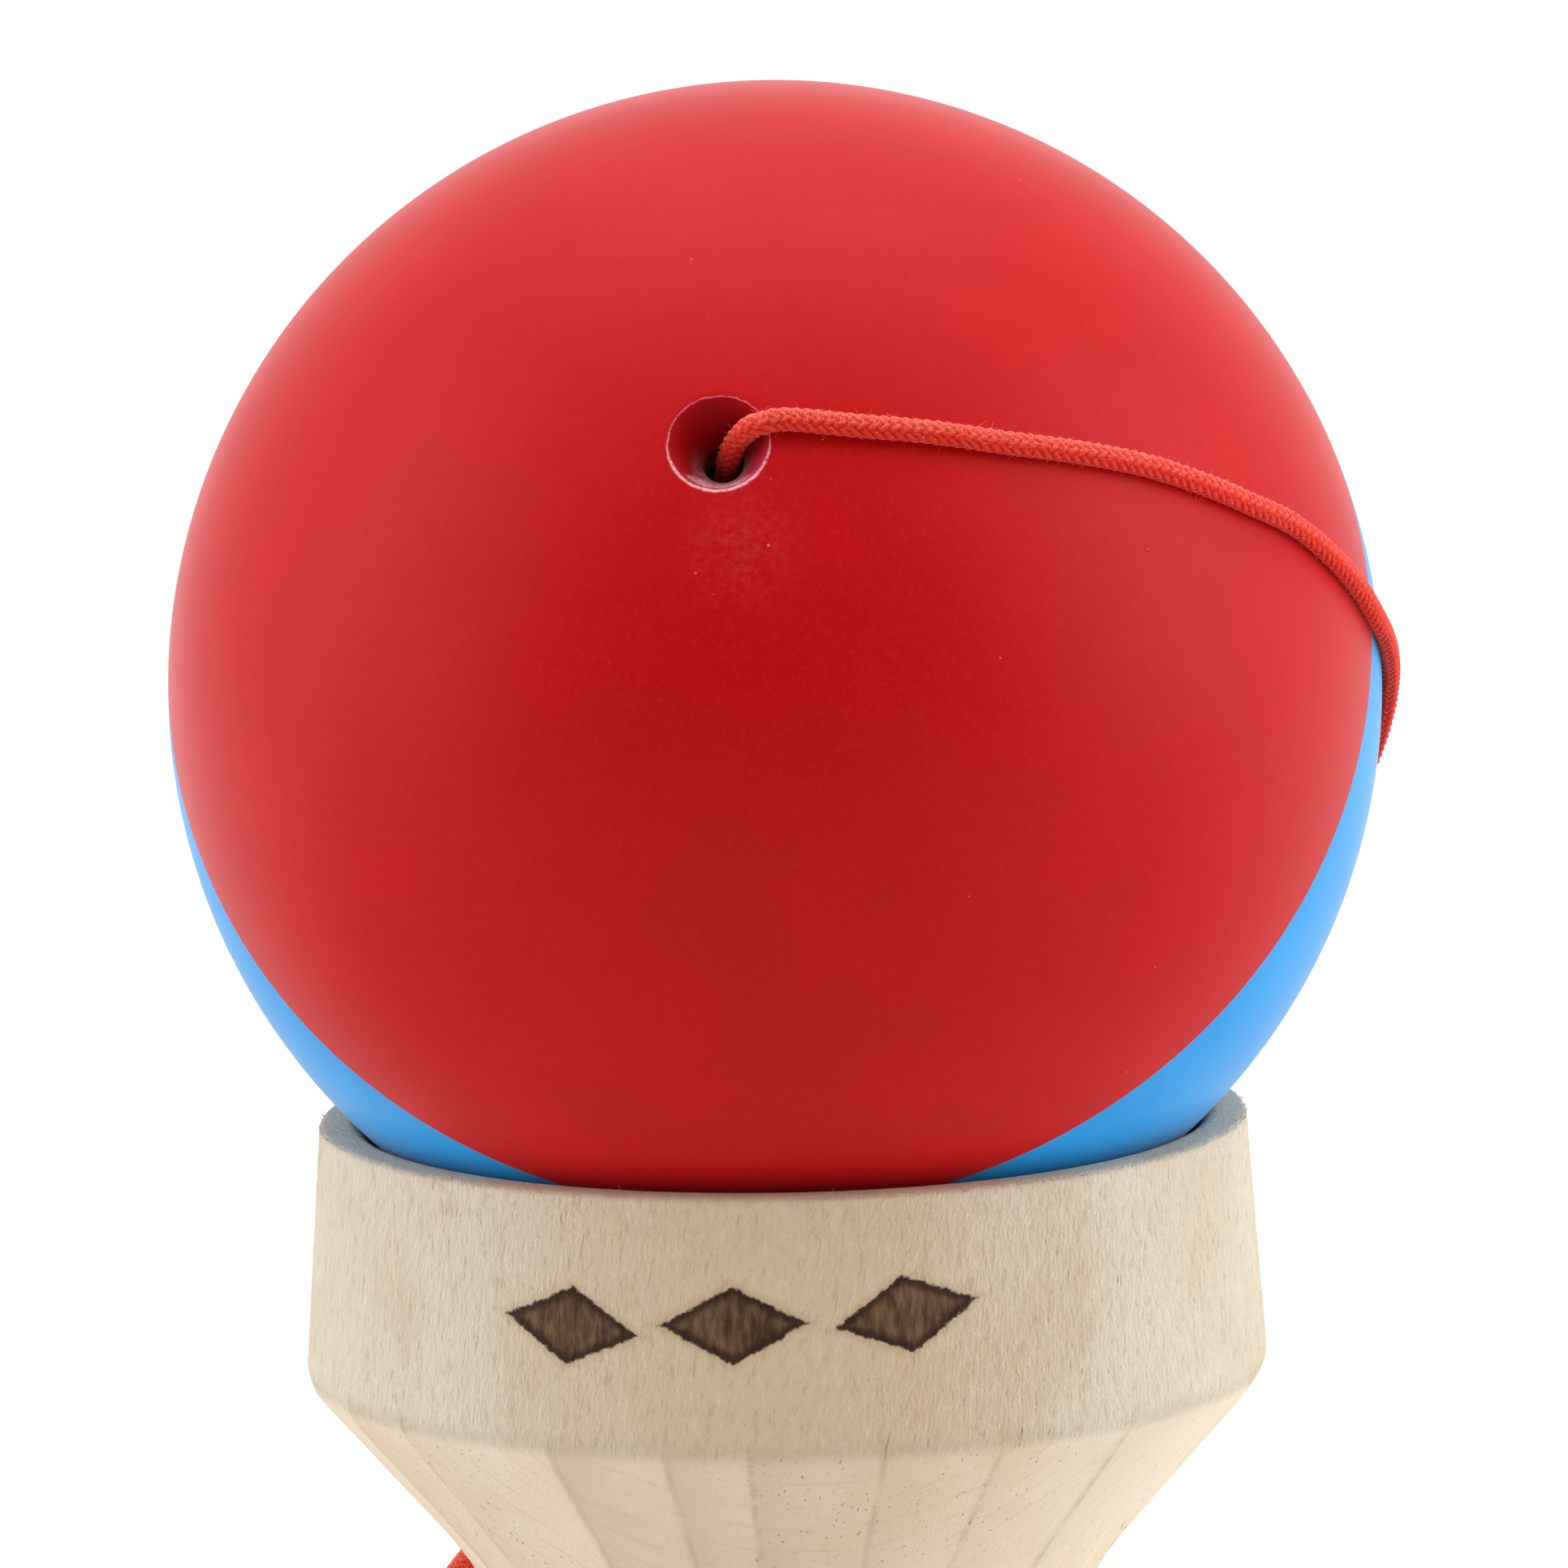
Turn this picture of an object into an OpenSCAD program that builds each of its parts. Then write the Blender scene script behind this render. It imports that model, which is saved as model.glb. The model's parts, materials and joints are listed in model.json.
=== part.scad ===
// Kendama: a wooden cup-and-ball toy standing on its small cup, with the ball
// seated in the large cup. +Z is up and the handle lies along X. The origin is the
// centre of the small cup's rim, on the surface that the toy stands on.

/* [Crosspiece] */
// Height of the crosspiece, from the small cup's rim to the large cup's rim
cross_h = 71; // [68:0.5:74]
// Outer radius of the large cup at its rim
large_rim_r = 23.05; // [22.8:0.05:23.4]
// Largest radius of the large cup, at its lower corner
large_wide_r = 23.9; // [23.6:0.05:24.4]
// Distance from the large rim to that corner
large_side_h = 12; // [10:0.5:13]
// Outer radius of the small cup at its rim
small_rim_r = 21.2; // [20.8:0.05:21.5]
// Largest radius of the small cup, at its upper corner
small_wide_r = 21.9; // [21.6:0.05:22.2]
// Distance from the small rim to that corner
small_side_h = 11.5; // [10:0.5:12]
// Radius of the round-bodied waist between the cups
waist_r = 12.5; // [12:0.1:13]
// Radius of the coves that run from the cups into the waist
cove_r = 21; // [19:0.5:22]
// Slope of the bevels under the cups, from the axis
bevel_angle = 41; // [38:1:44]
// Radius of the rounded corners where sides meet bevels
corner_r = 2; // [1.5:0.1:2.5]

/* [Cup hollows] */
// Radius of the large cup's hollow
large_bowl_r = 23.2; // [23:0.1:23.6]
// Depth of the large cup's hollow below its rim
large_bowl_depth = 13.5; // [13:0.1:14]
// Radius of the rounded lip that the ball sits on
large_lip_r = 1; // [0.8:0.05:1.1]
// Radius of the small cup's hollow
small_bowl_r = 22; // [21.5:0.1:22.5]
// Depth of the small cup's hollow
small_bowl_depth = 10.5; // [10:0.1:10.8]
// Radius of the hollow in the handle's base
base_bowl_r = 24; // [23.5:0.1:24.5]
// Depth of the hollow in the handle's base
base_bowl_depth = 7; // [6.5:0.1:7.2]
// Radius of the lips of the small cup and the base
lip_r = 0.8; // [0.6:0.05:0.9]

/* [Handle] */
// Height of the handle's axis above the surface
handle_z = 34; // [33:0.1:35]
// Radius of the handle where it passes through the crosspiece
tenon_r = 7.5; // [7:0.1:8]
// Length of the spike side, from the crosspiece's axis to the tip
spike_len = 56; // [52:0.5:60]
// Radius of the spike just before its rounded tip
spike_tip_r = 3.6; // [3:0.1:4]
// Length of the base side, from the crosspiece's axis to the base's rim
base_len = 109; // [105:0.5:113]
// Radius of the handle beside the crosspiece
grip_r = 8.2; // [8:0.1:8.6]
// Radius of the handle at its slimmest, before the base
grip_slim_r = 7; // [6.6:0.1:7.4]
// Outer radius of the base at its rim
base_rim_r = 19.3; // [19:0.1:19.8]
// Radius of the base at its inner corner
base_wide_r = 18.6; // [18.2:0.1:19]
// Distance from the base's rim to that corner
base_side_h = 7; // [6:0.5:8]
// Radius of the cove from the base into the grip
base_cove_r = 14; // [12:0.5:15]
// Slope of the bevel behind the base, from the axis
base_bevel_angle = 60; // [55:1:65]

/* [Ball] */
// Radius of the painted ball
ball_r = 30; // [29.8:0.05:30.2]
// Thickness of the paint coats
coat_t = 0.3; // [0.2:0.05:0.4]
// Direction of the string hole around the vertical, from -Y towards +X
hole_az = -5.5; // [-10:0.5:0]
// Direction of the string hole above the horizontal
hole_el = 31; // [28:0.5:34]
// Direction that the red half faces around the vertical, from -Y towards +X
seam_az = -4.5; // [-10:0.5:0]
// Direction that the red half faces above the horizontal
seam_el = 31.7; // [28:0.1:34]
// Distance of the colour boundary from the ball's centre, towards the red half
coat_split = 4.7; // [4:0.1:5.5]
// Gap that the seated ball keeps from the large cup's lip
seat_gap = 0.15; // [0.1:0.05:0.2]
// Radius of the string hole
string_hole_r = 1.05; // [1:0.05:1.2]
// Radius of the string hole's countersink at the ball's surface
countersink_r = 2.45; // [2.3:0.05:2.6]
// Slope of the countersink, from its axis
countersink_angle = 30; // [25:1:45]
// Radius of the spike hole
spike_hole_r = 10.5; // [10:0.1:11]
// Distance of the spike hole's bottom past the ball's centre
spike_hole_end = 4; // [3:0.5:5]
// Radius of the pocket that holds the bead
pocket_r = 5; // [4.6:0.1:5.4]
// Distance of the pocket's end past the ball's centre
pocket_end = 16; // [15.8:0.1:16.5]
// Radius of the bead
bead_r = 3.8; // [3.6:0.1:3.9]

/* [String] */
// Diameter of the braided string
string_d = 1.2; // [1.1:0.05:1.3]
// Radius of the two end knots
knot_r = 1.9; // [1.7:0.05:2]
// Radius of the holes that the string passes through in the wood
wood_hole_r = 1.1; // [1:0.05:1.2]
// Radius of the pocket in the handle that holds the string's knot
knot_pocket_r = 2.6; // [2.4:0.1:2.8]

/* [Hidden] */
$fn = 96;
arc_steps = 12;
bowl_steps = 24;
tube_sides = 8;
string_r = string_d / 2;
string_gap = 0.15;
ball_string_r = ball_r + string_r + string_gap;
core_r = ball_r - coat_t;
mouth_bevel = 1.2;
mouth_z = -27;
overshoot = 1;

// The lip's circle touches the hollow's circle, which fixes its distance from the axis
function lip_x(bowl_r, depth, lip) =
    sqrt(pow(bowl_r + lip, 2) - pow(lip - (depth - bowl_r), 2));
large_lip_x = lip_x(large_bowl_r, large_bowl_depth, large_lip_r);
seat_span = ball_r + large_lip_r + seat_gap;
ball_z = cross_h - large_lip_r + sqrt(seat_span * seat_span - large_lip_x * large_lip_x);

// Where the bead, the knots and the string's ends lie along their holes
bead_s = pocket_end - bead_r - 0.2;
ball_knot_top = bead_s - bead_r - 0.2;
ball_knot_s = ball_knot_top - 1.6;
over_ball_start = 26;
handle_knot_face = 2.4;
handle_knot_y = handle_knot_face + 1.6;
knot_pocket_y = 2;

// The string over the ball: direction around the vertical, direction above the
// horizontal, and distance from the ball's centre (0 for lying on the surface)
over_ball = [
    [-5.5, 31, over_ball_start], [-5.5, 31, 26.5], [-5, 31.2, 27.2], [-4.7, 31.4, 27.7],
    [-4.4, 31.7, 28.2], [-3.5, 32.3, 29], [-2.2, 32.5, 30.05], [-0.8, 32.5, 30.7],
    [1, 32.8, 0], [9, 32, 0], [17, 31, 0], [25, 29.5, 0], [33, 28, 0], [41, 26, 0],
    [48, 23.5, 0], [54, 21, 0], [60, 18.5, 0], [66, 15, 0], [72, 11, 0], [77, 7.5, 0],
    [82, 4.5, 0], [87, 2, 0], [91.5, -0.5, 0], [95, -3, 0], [97.5, -6.5, 0], [100, -10.5, 0],
    [103, -14, 0], [108, -18, 0], [115, -21.5, 0], [122, -25, 0], [129, -29, 0]
];
// The string from the ball, over the rim and down behind the large cup
behind_cup = [
    [18, 18.2, 74.5], [14.5, 19.5, 71.5], [11, 21.5, 68], [7.5, 23.2, 64.5],
    [3.5, 24.4, 61.5], [-0.5, 24.8, 58.5]
];
// The string from the large cup, over the handle and down to the coil
over_handle = [
    [-4.5, 23.2, 56], [-8, 20.5, 53.5], [-11.3, 17, 51.5], [-13.6, 13, 49.5],
    [-15.8, 8.5, 47.5], [-18, 4.5, 45.5], [-20.4, 0.7, 43.7], [-23, -3, 42.4],
    [-25, -6.5, 40.1], [-26.5, -8.6, 36.6], [-27.5, -9.3, 32.5], [-28.5, -9.4, 28],
    [-29.5, -9.5, 23], [-30.5, -9.6, 18], [-31.5, -9.9, 13], [-32.6, -10.9, 8.5],
    [-33.8, -12.7, 4.5], [-35.2, -15, 1.8], [-36.1, -17.6, 0.7], [-36.4, -20, 0.7]
];
// The string from the coil up to the crosspiece
rise = [
    [-28, -28.4, 1.8], [-24, -28.2, 1.3], [-20, -27.6, 0.8], [-16, -26.8, 0.7],
    [-12, -25.9, 0.8], [-8.6, -24.9, 2.2], [-6, -24, 5], [-4.4, -23.2, 8.5],
    [-3.2, -22.6, 12.2], [-2.6, -21.4, 15.2], [-2, -19.6, 18.5], [-1.4, -18.2, 22.5],
    [-0.8, -17.4, 26.5], [-0.3, -17, 30], [0, -16.2, 32.4], [0, -14.6, 33.8],
    [0, -13.4, 34], [0, -12.5, 34]
];
// The coil of spare string: its place, and its radius at the middle of its turns
coil_x = -28;
coil_y = -20;
coil_mean_r = 7.7;
coil_h = 2 * string_d;

wood_light = [0.91, 0.84, 0.73];
wood_dark = [0.85, 0.74, 0.58];
paint_red = [0.78, 0.07, 0.09];
paint_blue = [0.28, 0.62, 0.86];
cord_red = [0.83, 0.25, 0.17];

// A point at distance r from c, in the direction turned by a from the second axis
function polar(c, r, a) = c + r * [sin(a), cos(a)];
function arc(c, r, from, to, steps) =
    [for (i = [0 : steps]) polar(c, r, from + (to - from) * i / steps)];

// Half outline of a turned cup, as [radius, depth below the rim]: the hollow from its
// centre, the lip, the flat rim, the outer corner, the side, the bevel and the cove
function cup_outline(rim_r, wide_r, side_h, bowl_r, depth, lip, neck_r, cove, bevel) =
    let (bowl_c = [0, depth - bowl_r],
         lip_c = [lip_x(bowl_r, depth, lip), lip],
         touch = atan2(lip_c.x, lip - bowl_c.y),
         neck = neck_depth(wide_r, side_h, neck_r, cove, bevel))
    concat(
        arc(bowl_c, bowl_r, 0, touch, bowl_steps),
        arc(lip_c, lip, 180 + touch, 180, arc_steps),
        arc([rim_r - lip, lip], lip, 180, 90, arc_steps),
        arc([wide_r - corner_r, side_h], corner_r, 90, 90 - bevel, arc_steps),
        arc([neck_r + cove, neck], cove, 270 - bevel, 270, arc_steps)
    );

// Depth at which the cove under a cup reaches the neck
function neck_depth(wide_r, side_h, neck_r, cove, bevel) =
    let (corner = [wide_r - corner_r + corner_r * cos(bevel), side_h + corner_r * sin(bevel)],
         cove_start_r = neck_r + cove * (1 - cos(bevel)))
    corner.y + (corner.x - cove_start_r) / tan(bevel) + cove * sin(bevel);

// A vector's place from directions in degrees and a distance
function bearing(az, el, r) = r * [sin(az) * cos(el), -cos(az) * cos(el), sin(el)];
over_ball_path = [for (p = over_ball)
    [0, 0, ball_z] + bearing(p[0], p[1], p[2] == 0 ? ball_string_r : p[2])];
// The whole route from the ball's hole to the coil, and where its stretches end
route = concat(over_ball_path, behind_cup, over_handle);
ball_end = len(over_ball) - 1;
cup_end = ball_end + len(behind_cup);
route_end = len(route) - 1;

function unit(v) = v / norm(v);
function heading(path, i) = unit(path[min(i + 1, len(path) - 1)] - path[max(i - 1, 0)]);
// A direction across the path at point i, carried along so that the tube doesn't twist
function side_dir(path, i) =
    let (t = heading(path, i))
    i == 0
        ? unit(cross(t, abs(t.z) < 0.9 ? [0, 0, 1] : [1, 0, 0]))
        : let (s = side_dir(path, i - 1)) unit(s - (s * t) * t);
function ring(path, i, r) =
    let (s = side_dir(path, i), u = cross(heading(path, i), s))
    [for (k = [0 : tube_sides - 1])
        let (a = 360 * k / tube_sides) path[i] + r * (cos(a) * s + sin(a) * u)];

// A round cord along a path from one of its points to another, as one closed tube
module tube(path, r, first, last) {
    n = last - first + 1;
    corners = [for (i = [first : last]) each ring(path, i, r)];
    walls = [for (i = [0 : n - 2], k = [0 : tube_sides - 1])
        let (a = i * tube_sides + k, b = i * tube_sides + (k + 1) % tube_sides)
        each [[a, b + tube_sides, b], [a, a + tube_sides, b + tube_sides]]];
    start_cap = [for (k = [0 : tube_sides - 1]) k];
    end_cap = [for (k = [tube_sides - 1 : -1 : 0]) (n - 1) * tube_sides + k];
    polyhedron(corners, concat(walls, [start_cap], [end_cap]));
}

// Places its children in the ball's own frame, where +Z leaves by the string hole, or in
// a frame about the ball's centre with +Z in another direction
module in_ball_frame(az = hole_az, el = hole_el) {
    translate([0, 0, ball_z]) rotate([90 - el, 0, az]) children();
}

// Places its children along the string hole in the wood, where +Z points to +Y
module in_wood_hole_frame() {
    translate([0, 0, handle_z]) rotate([-90, 0, 0]) children();
}

// Everything drilled out of the ball
module ball_drillings() {
    translate([0, 0, pocket_end - overshoot])
        cylinder(h = ball_r - pocket_end + 2 * overshoot, r = string_hole_r);
    sink_top = sqrt(ball_r * ball_r - countersink_r * countersink_r);
    sink_h = (countersink_r - string_hole_r) / tan(countersink_angle);
    translate([0, 0, sink_top - sink_h])
        cylinder(h = 2 * sink_h, r1 = string_hole_r, r2 = 2 * countersink_r - string_hole_r);
    translate([0, 0, spike_hole_end - overshoot])
        cylinder(h = pocket_end - spike_hole_end + overshoot, r = pocket_r);
    translate([0, 0, -ball_r - overshoot])
        cylinder(h = ball_r + overshoot + spike_hole_end, r = spike_hole_r);
    translate([0, 0, mouth_z - 2 * mouth_bevel])
        cylinder(h = 2 * mouth_bevel, r1 = spike_hole_r + 2 * mouth_bevel, r2 = spike_hole_r);
}

// A coat of paint on one side of the colour boundary
module coat(side) {
    low = side > 0 ? coat_split : coat_split - 4 * ball_r;
    difference() {
        in_ball_frame(seam_az, seam_el) intersection() {
            difference() {
                sphere(r = ball_r);
                sphere(r = core_r);
            }
            translate([-2 * ball_r, -2 * ball_r, low]) cube(4 * ball_r);
        }
        in_ball_frame() ball_drillings();
    }
}

// A tight round knot with a flat where the string enters it
module knot(centre, face) {
    difference() {
        translate([0, 0, centre]) sphere(r = knot_r);
        if (face > centre)
            translate([-2 * knot_r, -2 * knot_r, face]) cube(4 * knot_r);
        else
            translate([-2 * knot_r, -2 * knot_r, face - 4 * knot_r]) cube(4 * knot_r);
    }
}

// Turned crosspiece with a cup at each end, bored across for the handle
module crosspiece() {
    lower = cup_outline(small_rim_r, small_wide_r, small_side_h, small_bowl_r,
                        small_bowl_depth, lip_r, waist_r, cove_r, bevel_angle);
    upper = cup_outline(large_rim_r, large_wide_r, large_side_h, large_bowl_r,
                        large_bowl_depth, large_lip_r, waist_r, cove_r, bevel_angle);
    outline = concat(lower, [for (i = [len(upper) - 1 : -1 : 0])
                                 [upper[i].x, cross_h - upper[i].y]]);
    color(wood_light) difference() {
        rotate_extrude() polygon(outline);
        translate([-waist_r - overshoot, 0, handle_z]) rotate([0, 90, 0])
            cylinder(h = 2 * (waist_r + overshoot), r = tenon_r);
        in_wood_hole_frame() translate([0, 0, -waist_r - overshoot])
            cylinder(h = waist_r + overshoot, r = wood_hole_r);
        in_wood_hole_frame() translate([0, 0, -waist_r - overshoot])
            cylinder(h = 2 * overshoot, r1 = wood_hole_r + 2 * overshoot, r2 = wood_hole_r);
    }
}

// Turned handle: the spike towards +X, the tenon through the crosspiece, the grip,
// and the base with its shallow hollow towards -X
module handle() {
    base = cup_outline(base_rim_r, base_wide_r, base_side_h, base_bowl_r, base_bowl_depth,
                       lip_r, grip_slim_r, base_cove_r, base_bevel_angle);
    tenon_start = base_len - waist_r - 0.3;
    tenon_end = base_len + waist_r + 0.5;
    tip = base_len + spike_len;
    outline = concat(
        base,
        [[grip_r, tenon_start - 1]],
        arc([grip_r - 0.7, tenon_start - 0.7], 0.7, 90, 0, 4),
        [[tenon_r, tenon_start + 0.01], [tenon_r, tenon_end]],
        arc([spike_tip_r - 2.4, tip - 2.4], 2.4, 80, 0, arc_steps),
        [[0, tip]]
    );
    color(wood_dark) difference() {
        translate([-base_len, 0, handle_z]) rotate([0, 90, 0])
            rotate_extrude() polygon(outline);
        in_wood_hole_frame() translate([0, 0, -tenon_r - overshoot])
            cylinder(h = tenon_r + overshoot + knot_pocket_y, r = wood_hole_r);
        in_wood_hole_frame() translate([0, 0, knot_pocket_y])
            cylinder(h = tenon_r, r = knot_pocket_r);
    }
}

// Bare wood of the ball
module ball_core() {
    color(wood_light) in_ball_frame() difference() {
        sphere(r = core_r);
        ball_drillings();
    }
}

module ball_red_coat() {
    color(paint_red) coat(1);
}

module ball_blue_coat() {
    color(paint_blue) coat(-1);
}

// Wooden bead that the ball turns on, held by the string's knot
module ball_bead() {
    color(wood_dark) in_ball_frame() difference() {
        translate([0, 0, bead_s]) sphere(r = bead_r);
        translate([0, 0, bead_s - 2 * bead_r]) cylinder(h = 4 * bead_r, r = string_hole_r);
    }
}

module ball_knot() {
    color(cord_red) in_ball_frame() knot(ball_knot_s, ball_knot_top);
}

module handle_knot() {
    color(cord_red) in_wood_hole_frame() knot(handle_knot_y, handle_knot_face);
}

// String from the knot, through the bead, to the start of the string over the ball
module string_in_ball() {
    color(cord_red) in_ball_frame() translate([0, 0, ball_knot_top])
        cylinder(h = over_ball_start - ball_knot_top, r = string_r);
}

module string_over_ball() {
    color(cord_red) tube(route, string_r, 0, ball_end);
}

module string_behind_cup() {
    color(cord_red) tube(route, string_r, ball_end, cup_end);
}

module string_over_handle() {
    color(cord_red) tube(route, string_r, cup_end, route_end);
}

// Spare string, wound two turns wide and two high on the surface
module string_coil() {
    color(cord_red) translate([coil_x, coil_y, 0]) rotate_extrude()
        translate([coil_mean_r - string_d, 0]) square([2 * string_d, coil_h]);
}

// String from the coil up to the hole in the crosspiece
module string_rise() {
    color(cord_red) tube(rise, string_r, 0, len(rise) - 1);
}

module string_in_crosspiece() {
    color(cord_red) in_wood_hole_frame() translate([0, 0, -waist_r])
        cylinder(h = waist_r + handle_knot_face, r = string_r);
}

crosspiece();
handle();
ball_core();
ball_red_coat();
ball_blue_coat();
ball_bead();
ball_knot();
handle_knot();
string_in_ball();
string_over_ball();
string_behind_cup();
string_over_handle();
string_coil();
string_rise();
string_in_crosspiece();
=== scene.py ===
import json
import math

import bmesh
import bpy
import numpy as np
from mathutils import Matrix, Vector


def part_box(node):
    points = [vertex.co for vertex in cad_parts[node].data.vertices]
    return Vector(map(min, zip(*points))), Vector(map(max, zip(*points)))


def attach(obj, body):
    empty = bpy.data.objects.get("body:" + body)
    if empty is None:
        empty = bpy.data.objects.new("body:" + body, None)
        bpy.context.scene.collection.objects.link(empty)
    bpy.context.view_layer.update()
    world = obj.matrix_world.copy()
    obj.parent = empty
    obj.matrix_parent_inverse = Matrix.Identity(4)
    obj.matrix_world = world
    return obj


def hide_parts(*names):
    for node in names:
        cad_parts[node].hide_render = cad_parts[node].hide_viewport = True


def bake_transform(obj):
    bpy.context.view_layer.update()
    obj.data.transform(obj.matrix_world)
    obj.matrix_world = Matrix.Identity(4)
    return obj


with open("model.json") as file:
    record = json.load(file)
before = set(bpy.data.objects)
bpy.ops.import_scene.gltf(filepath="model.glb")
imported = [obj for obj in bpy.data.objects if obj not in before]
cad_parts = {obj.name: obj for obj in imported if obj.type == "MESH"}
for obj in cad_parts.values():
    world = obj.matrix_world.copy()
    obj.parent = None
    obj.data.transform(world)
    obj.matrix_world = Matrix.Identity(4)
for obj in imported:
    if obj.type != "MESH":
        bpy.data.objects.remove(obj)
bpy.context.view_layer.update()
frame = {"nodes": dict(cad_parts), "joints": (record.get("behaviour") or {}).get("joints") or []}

# A kendama: the turned crosspiece stands on its small cup and holds the painted ball in its
# large cup, the handle passes through it along X, and one braided string joins ball and
# crosspiece. Lengths are in millimetres until a mesh is made, and MM turns them into metres.
MM = 0.001
RANDOM = np.random.default_rng(12)

ROOT = "crosspiece_and_handle"
STRING_END = "string_end"
BALL = "ball"

# The ball's centre and the direction of its string hole come from the joint it turns on
SPIN = next(j for j in frame["joints"] if j["name"] == "ball_spin")
BALL_CENTRE = Vector(SPIN["pos_m"])
HOLE_DIRECTION = Vector(SPIN["axis"]).normalized()
HOLE_AZ, HOLE_EL = -5.5, 31.0

# Crosspiece
CROSS_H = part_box("crosspiece")[1][2] / MM
WAIST_R = 12.5
COVE_R = 21.0
BEVEL_ANGLE = 41.0
CORNER_R = 2.0
LARGE_CUP = dict(rim_r=23.05, wide_r=23.9, side_h=12.0, bowl_r=23.2, depth=13.5, lip=1.0,
                 neck_r=WAIST_R, cove=COVE_R, bevel=BEVEL_ANGLE)
SMALL_CUP = dict(rim_r=21.2, wide_r=21.9, side_h=11.5, bowl_r=22.0, depth=10.5, lip=0.8,
                 neck_r=WAIST_R, cove=COVE_R, bevel=BEVEL_ANGLE)

# Handle
HANDLE_LOW, HANDLE_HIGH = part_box("handle")
HANDLE_Z = (HANDLE_LOW[2] + HANDLE_HIGH[2]) / 2 / MM
BASE_LEN = -HANDLE_LOW[0] / MM
HANDLE_LEN = (HANDLE_HIGH[0] - HANDLE_LOW[0]) / MM
TENON_R = 7.5
GRIP_R = 8.2
SHOULDER_ROUND = 0.7
SPIKE_TIP_R = 3.6
SPIKE_ROUND = 2.4
WOOD_HOLE_R = 1.1
WOOD_HOLE_SINK_R = 2.8
KNOT_POCKET_R = 2.6
KNOT_POCKET_Y = 2.0
BASE_CUP = dict(rim_r=19.3, wide_r=18.6, side_h=7.0, bowl_r=24.0, depth=7.0, lip=0.8,
                neck_r=7.0, cove=14.0, bevel=60.0)

# Ball. Heights are along its string hole's direction, from its middle. SEAM is the direction
# that the boundary between the two paints faces, and COAT_SPLIT its distance from the middle
BALL_R = 30.0
CORE_R = 29.7
SEAM_AZ, SEAM_EL = -4.5, 31.7
COAT_SPLIT = 4.7
STRING_HOLE_R = 1.05
SINK_R = 2.45
SINK_SLOPE = math.tan(math.radians(30))
SPIKE_HOLE_R = 10.5
SPIKE_HOLE_END = 4.0
POCKET_R = 5.0
POCKET_END = 16.0
MOUTH_Z = -27.0
BEAD_R = 3.8
BEAD_S = 12.0
PAINT_IN_BORE = 1.2

# String, its middle's distance from the ball's middle, and the spare length's coil
STRING_D = 1.2
STRING_LIE = BALL_R + 0.42
STRING_FLATTENING = 0.15
COIL_AT = (-28.0, -20.0)
COIL_R = 7.7


# ---------------------------------------------------------------- camera

def add(obj):
    bpy.context.scene.collection.objects.link(obj)
    return obj


CAMERA_ELEVATION, CAMERA_ROLL = 8.28, 1.04
CAMERA_DISTANCE = 600.0
CAMERA_SENSOR, CAMERA_LENS = 36.0, 278.59
# How far the ball's middle lies right of the view's middle, and above it
BALL_RIGHT, BALL_ABOVE = -0.4414, 4.7756


def make_camera():
    """A long lens 0.6 m from the ball, a little above it, rolled by a degree."""
    elevation, roll = math.radians(CAMERA_ELEVATION), math.radians(CAMERA_ROLL)
    forward = Vector((0, math.cos(elevation), -math.sin(elevation)))
    up = Vector((0, math.sin(elevation), math.cos(elevation)))
    right = Vector((1, 0, 0))
    cam_right = right * math.cos(roll) - up * math.sin(roll)
    cam_up = right * math.sin(roll) + up * math.cos(roll)
    place = BALL_CENTRE - forward * CAMERA_DISTANCE * MM
    aim = (forward * CAMERA_DISTANCE - cam_right * BALL_RIGHT - cam_up * BALL_ABOVE).normalized()
    cam_right = (cam_right - aim * cam_right.dot(aim)).normalized()
    cam_up = cam_right.cross(aim)
    data = bpy.data.cameras.new("camera")
    data.sensor_width = CAMERA_SENSOR
    data.lens = CAMERA_LENS
    data.clip_start = 0.01
    data.clip_end = 50
    cam = add(bpy.data.objects.new("camera", data))
    cam.matrix_world = Matrix((
        (cam_right.x, cam_up.x, -aim.x, place.x),
        (cam_right.y, cam_up.y, -aim.y, place.y),
        (cam_right.z, cam_up.z, -aim.z, place.z),
        (0, 0, 0, 1)))
    bpy.context.scene.camera = cam


make_camera()


# ---------------------------------------------------------------- the string's route

# Direction around the vertical from -Y towards +X, direction above the horizontal, and
# distance from the ball's centre (0 for lying on the ball)
OVER_BALL = [
    (-5.3, 31.6, 26), (-5.3, 31.7, 26.5), (-5, 31.7, 27.2), (-4.7, 31.7, 27.7),
    (-4.4, 31.9, 28.2), (-3.5, 32.3, 29), (-2.2, 32.5, 29.9), (-0.8, 32.5, 30.4),
    (1, 32.8, 0), (9, 32, 0), (17, 31, 0), (25, 29.5, 0), (33, 28, 0), (41, 26, 0),
    (48, 23.5, 0), (54, 21, 0), (60, 18.5, 0), (66, 15, 0), (72, 11, 0), (77, 7.5, 0),
    (82, 4.6, 0), (86.5, 2, 0), (90.5, -0.7, 0), (94, -3.7, 0), (97.5, -7.1, 0),
    (101, -10.6, 0), (104.8, -14, 0), (109.5, -17.7, 0), (115.5, -21.8, 0), (122, -25.8, 0),
    (129, -30, 0)]
BEHIND_CUP = [
    (18, 18.2, 74.5), (14.5, 19.5, 71.5), (11, 21.5, 68), (7.5, 23.2, 64.5),
    (3.5, 24.4, 61.5), (-0.5, 24.8, 58.5)]
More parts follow.
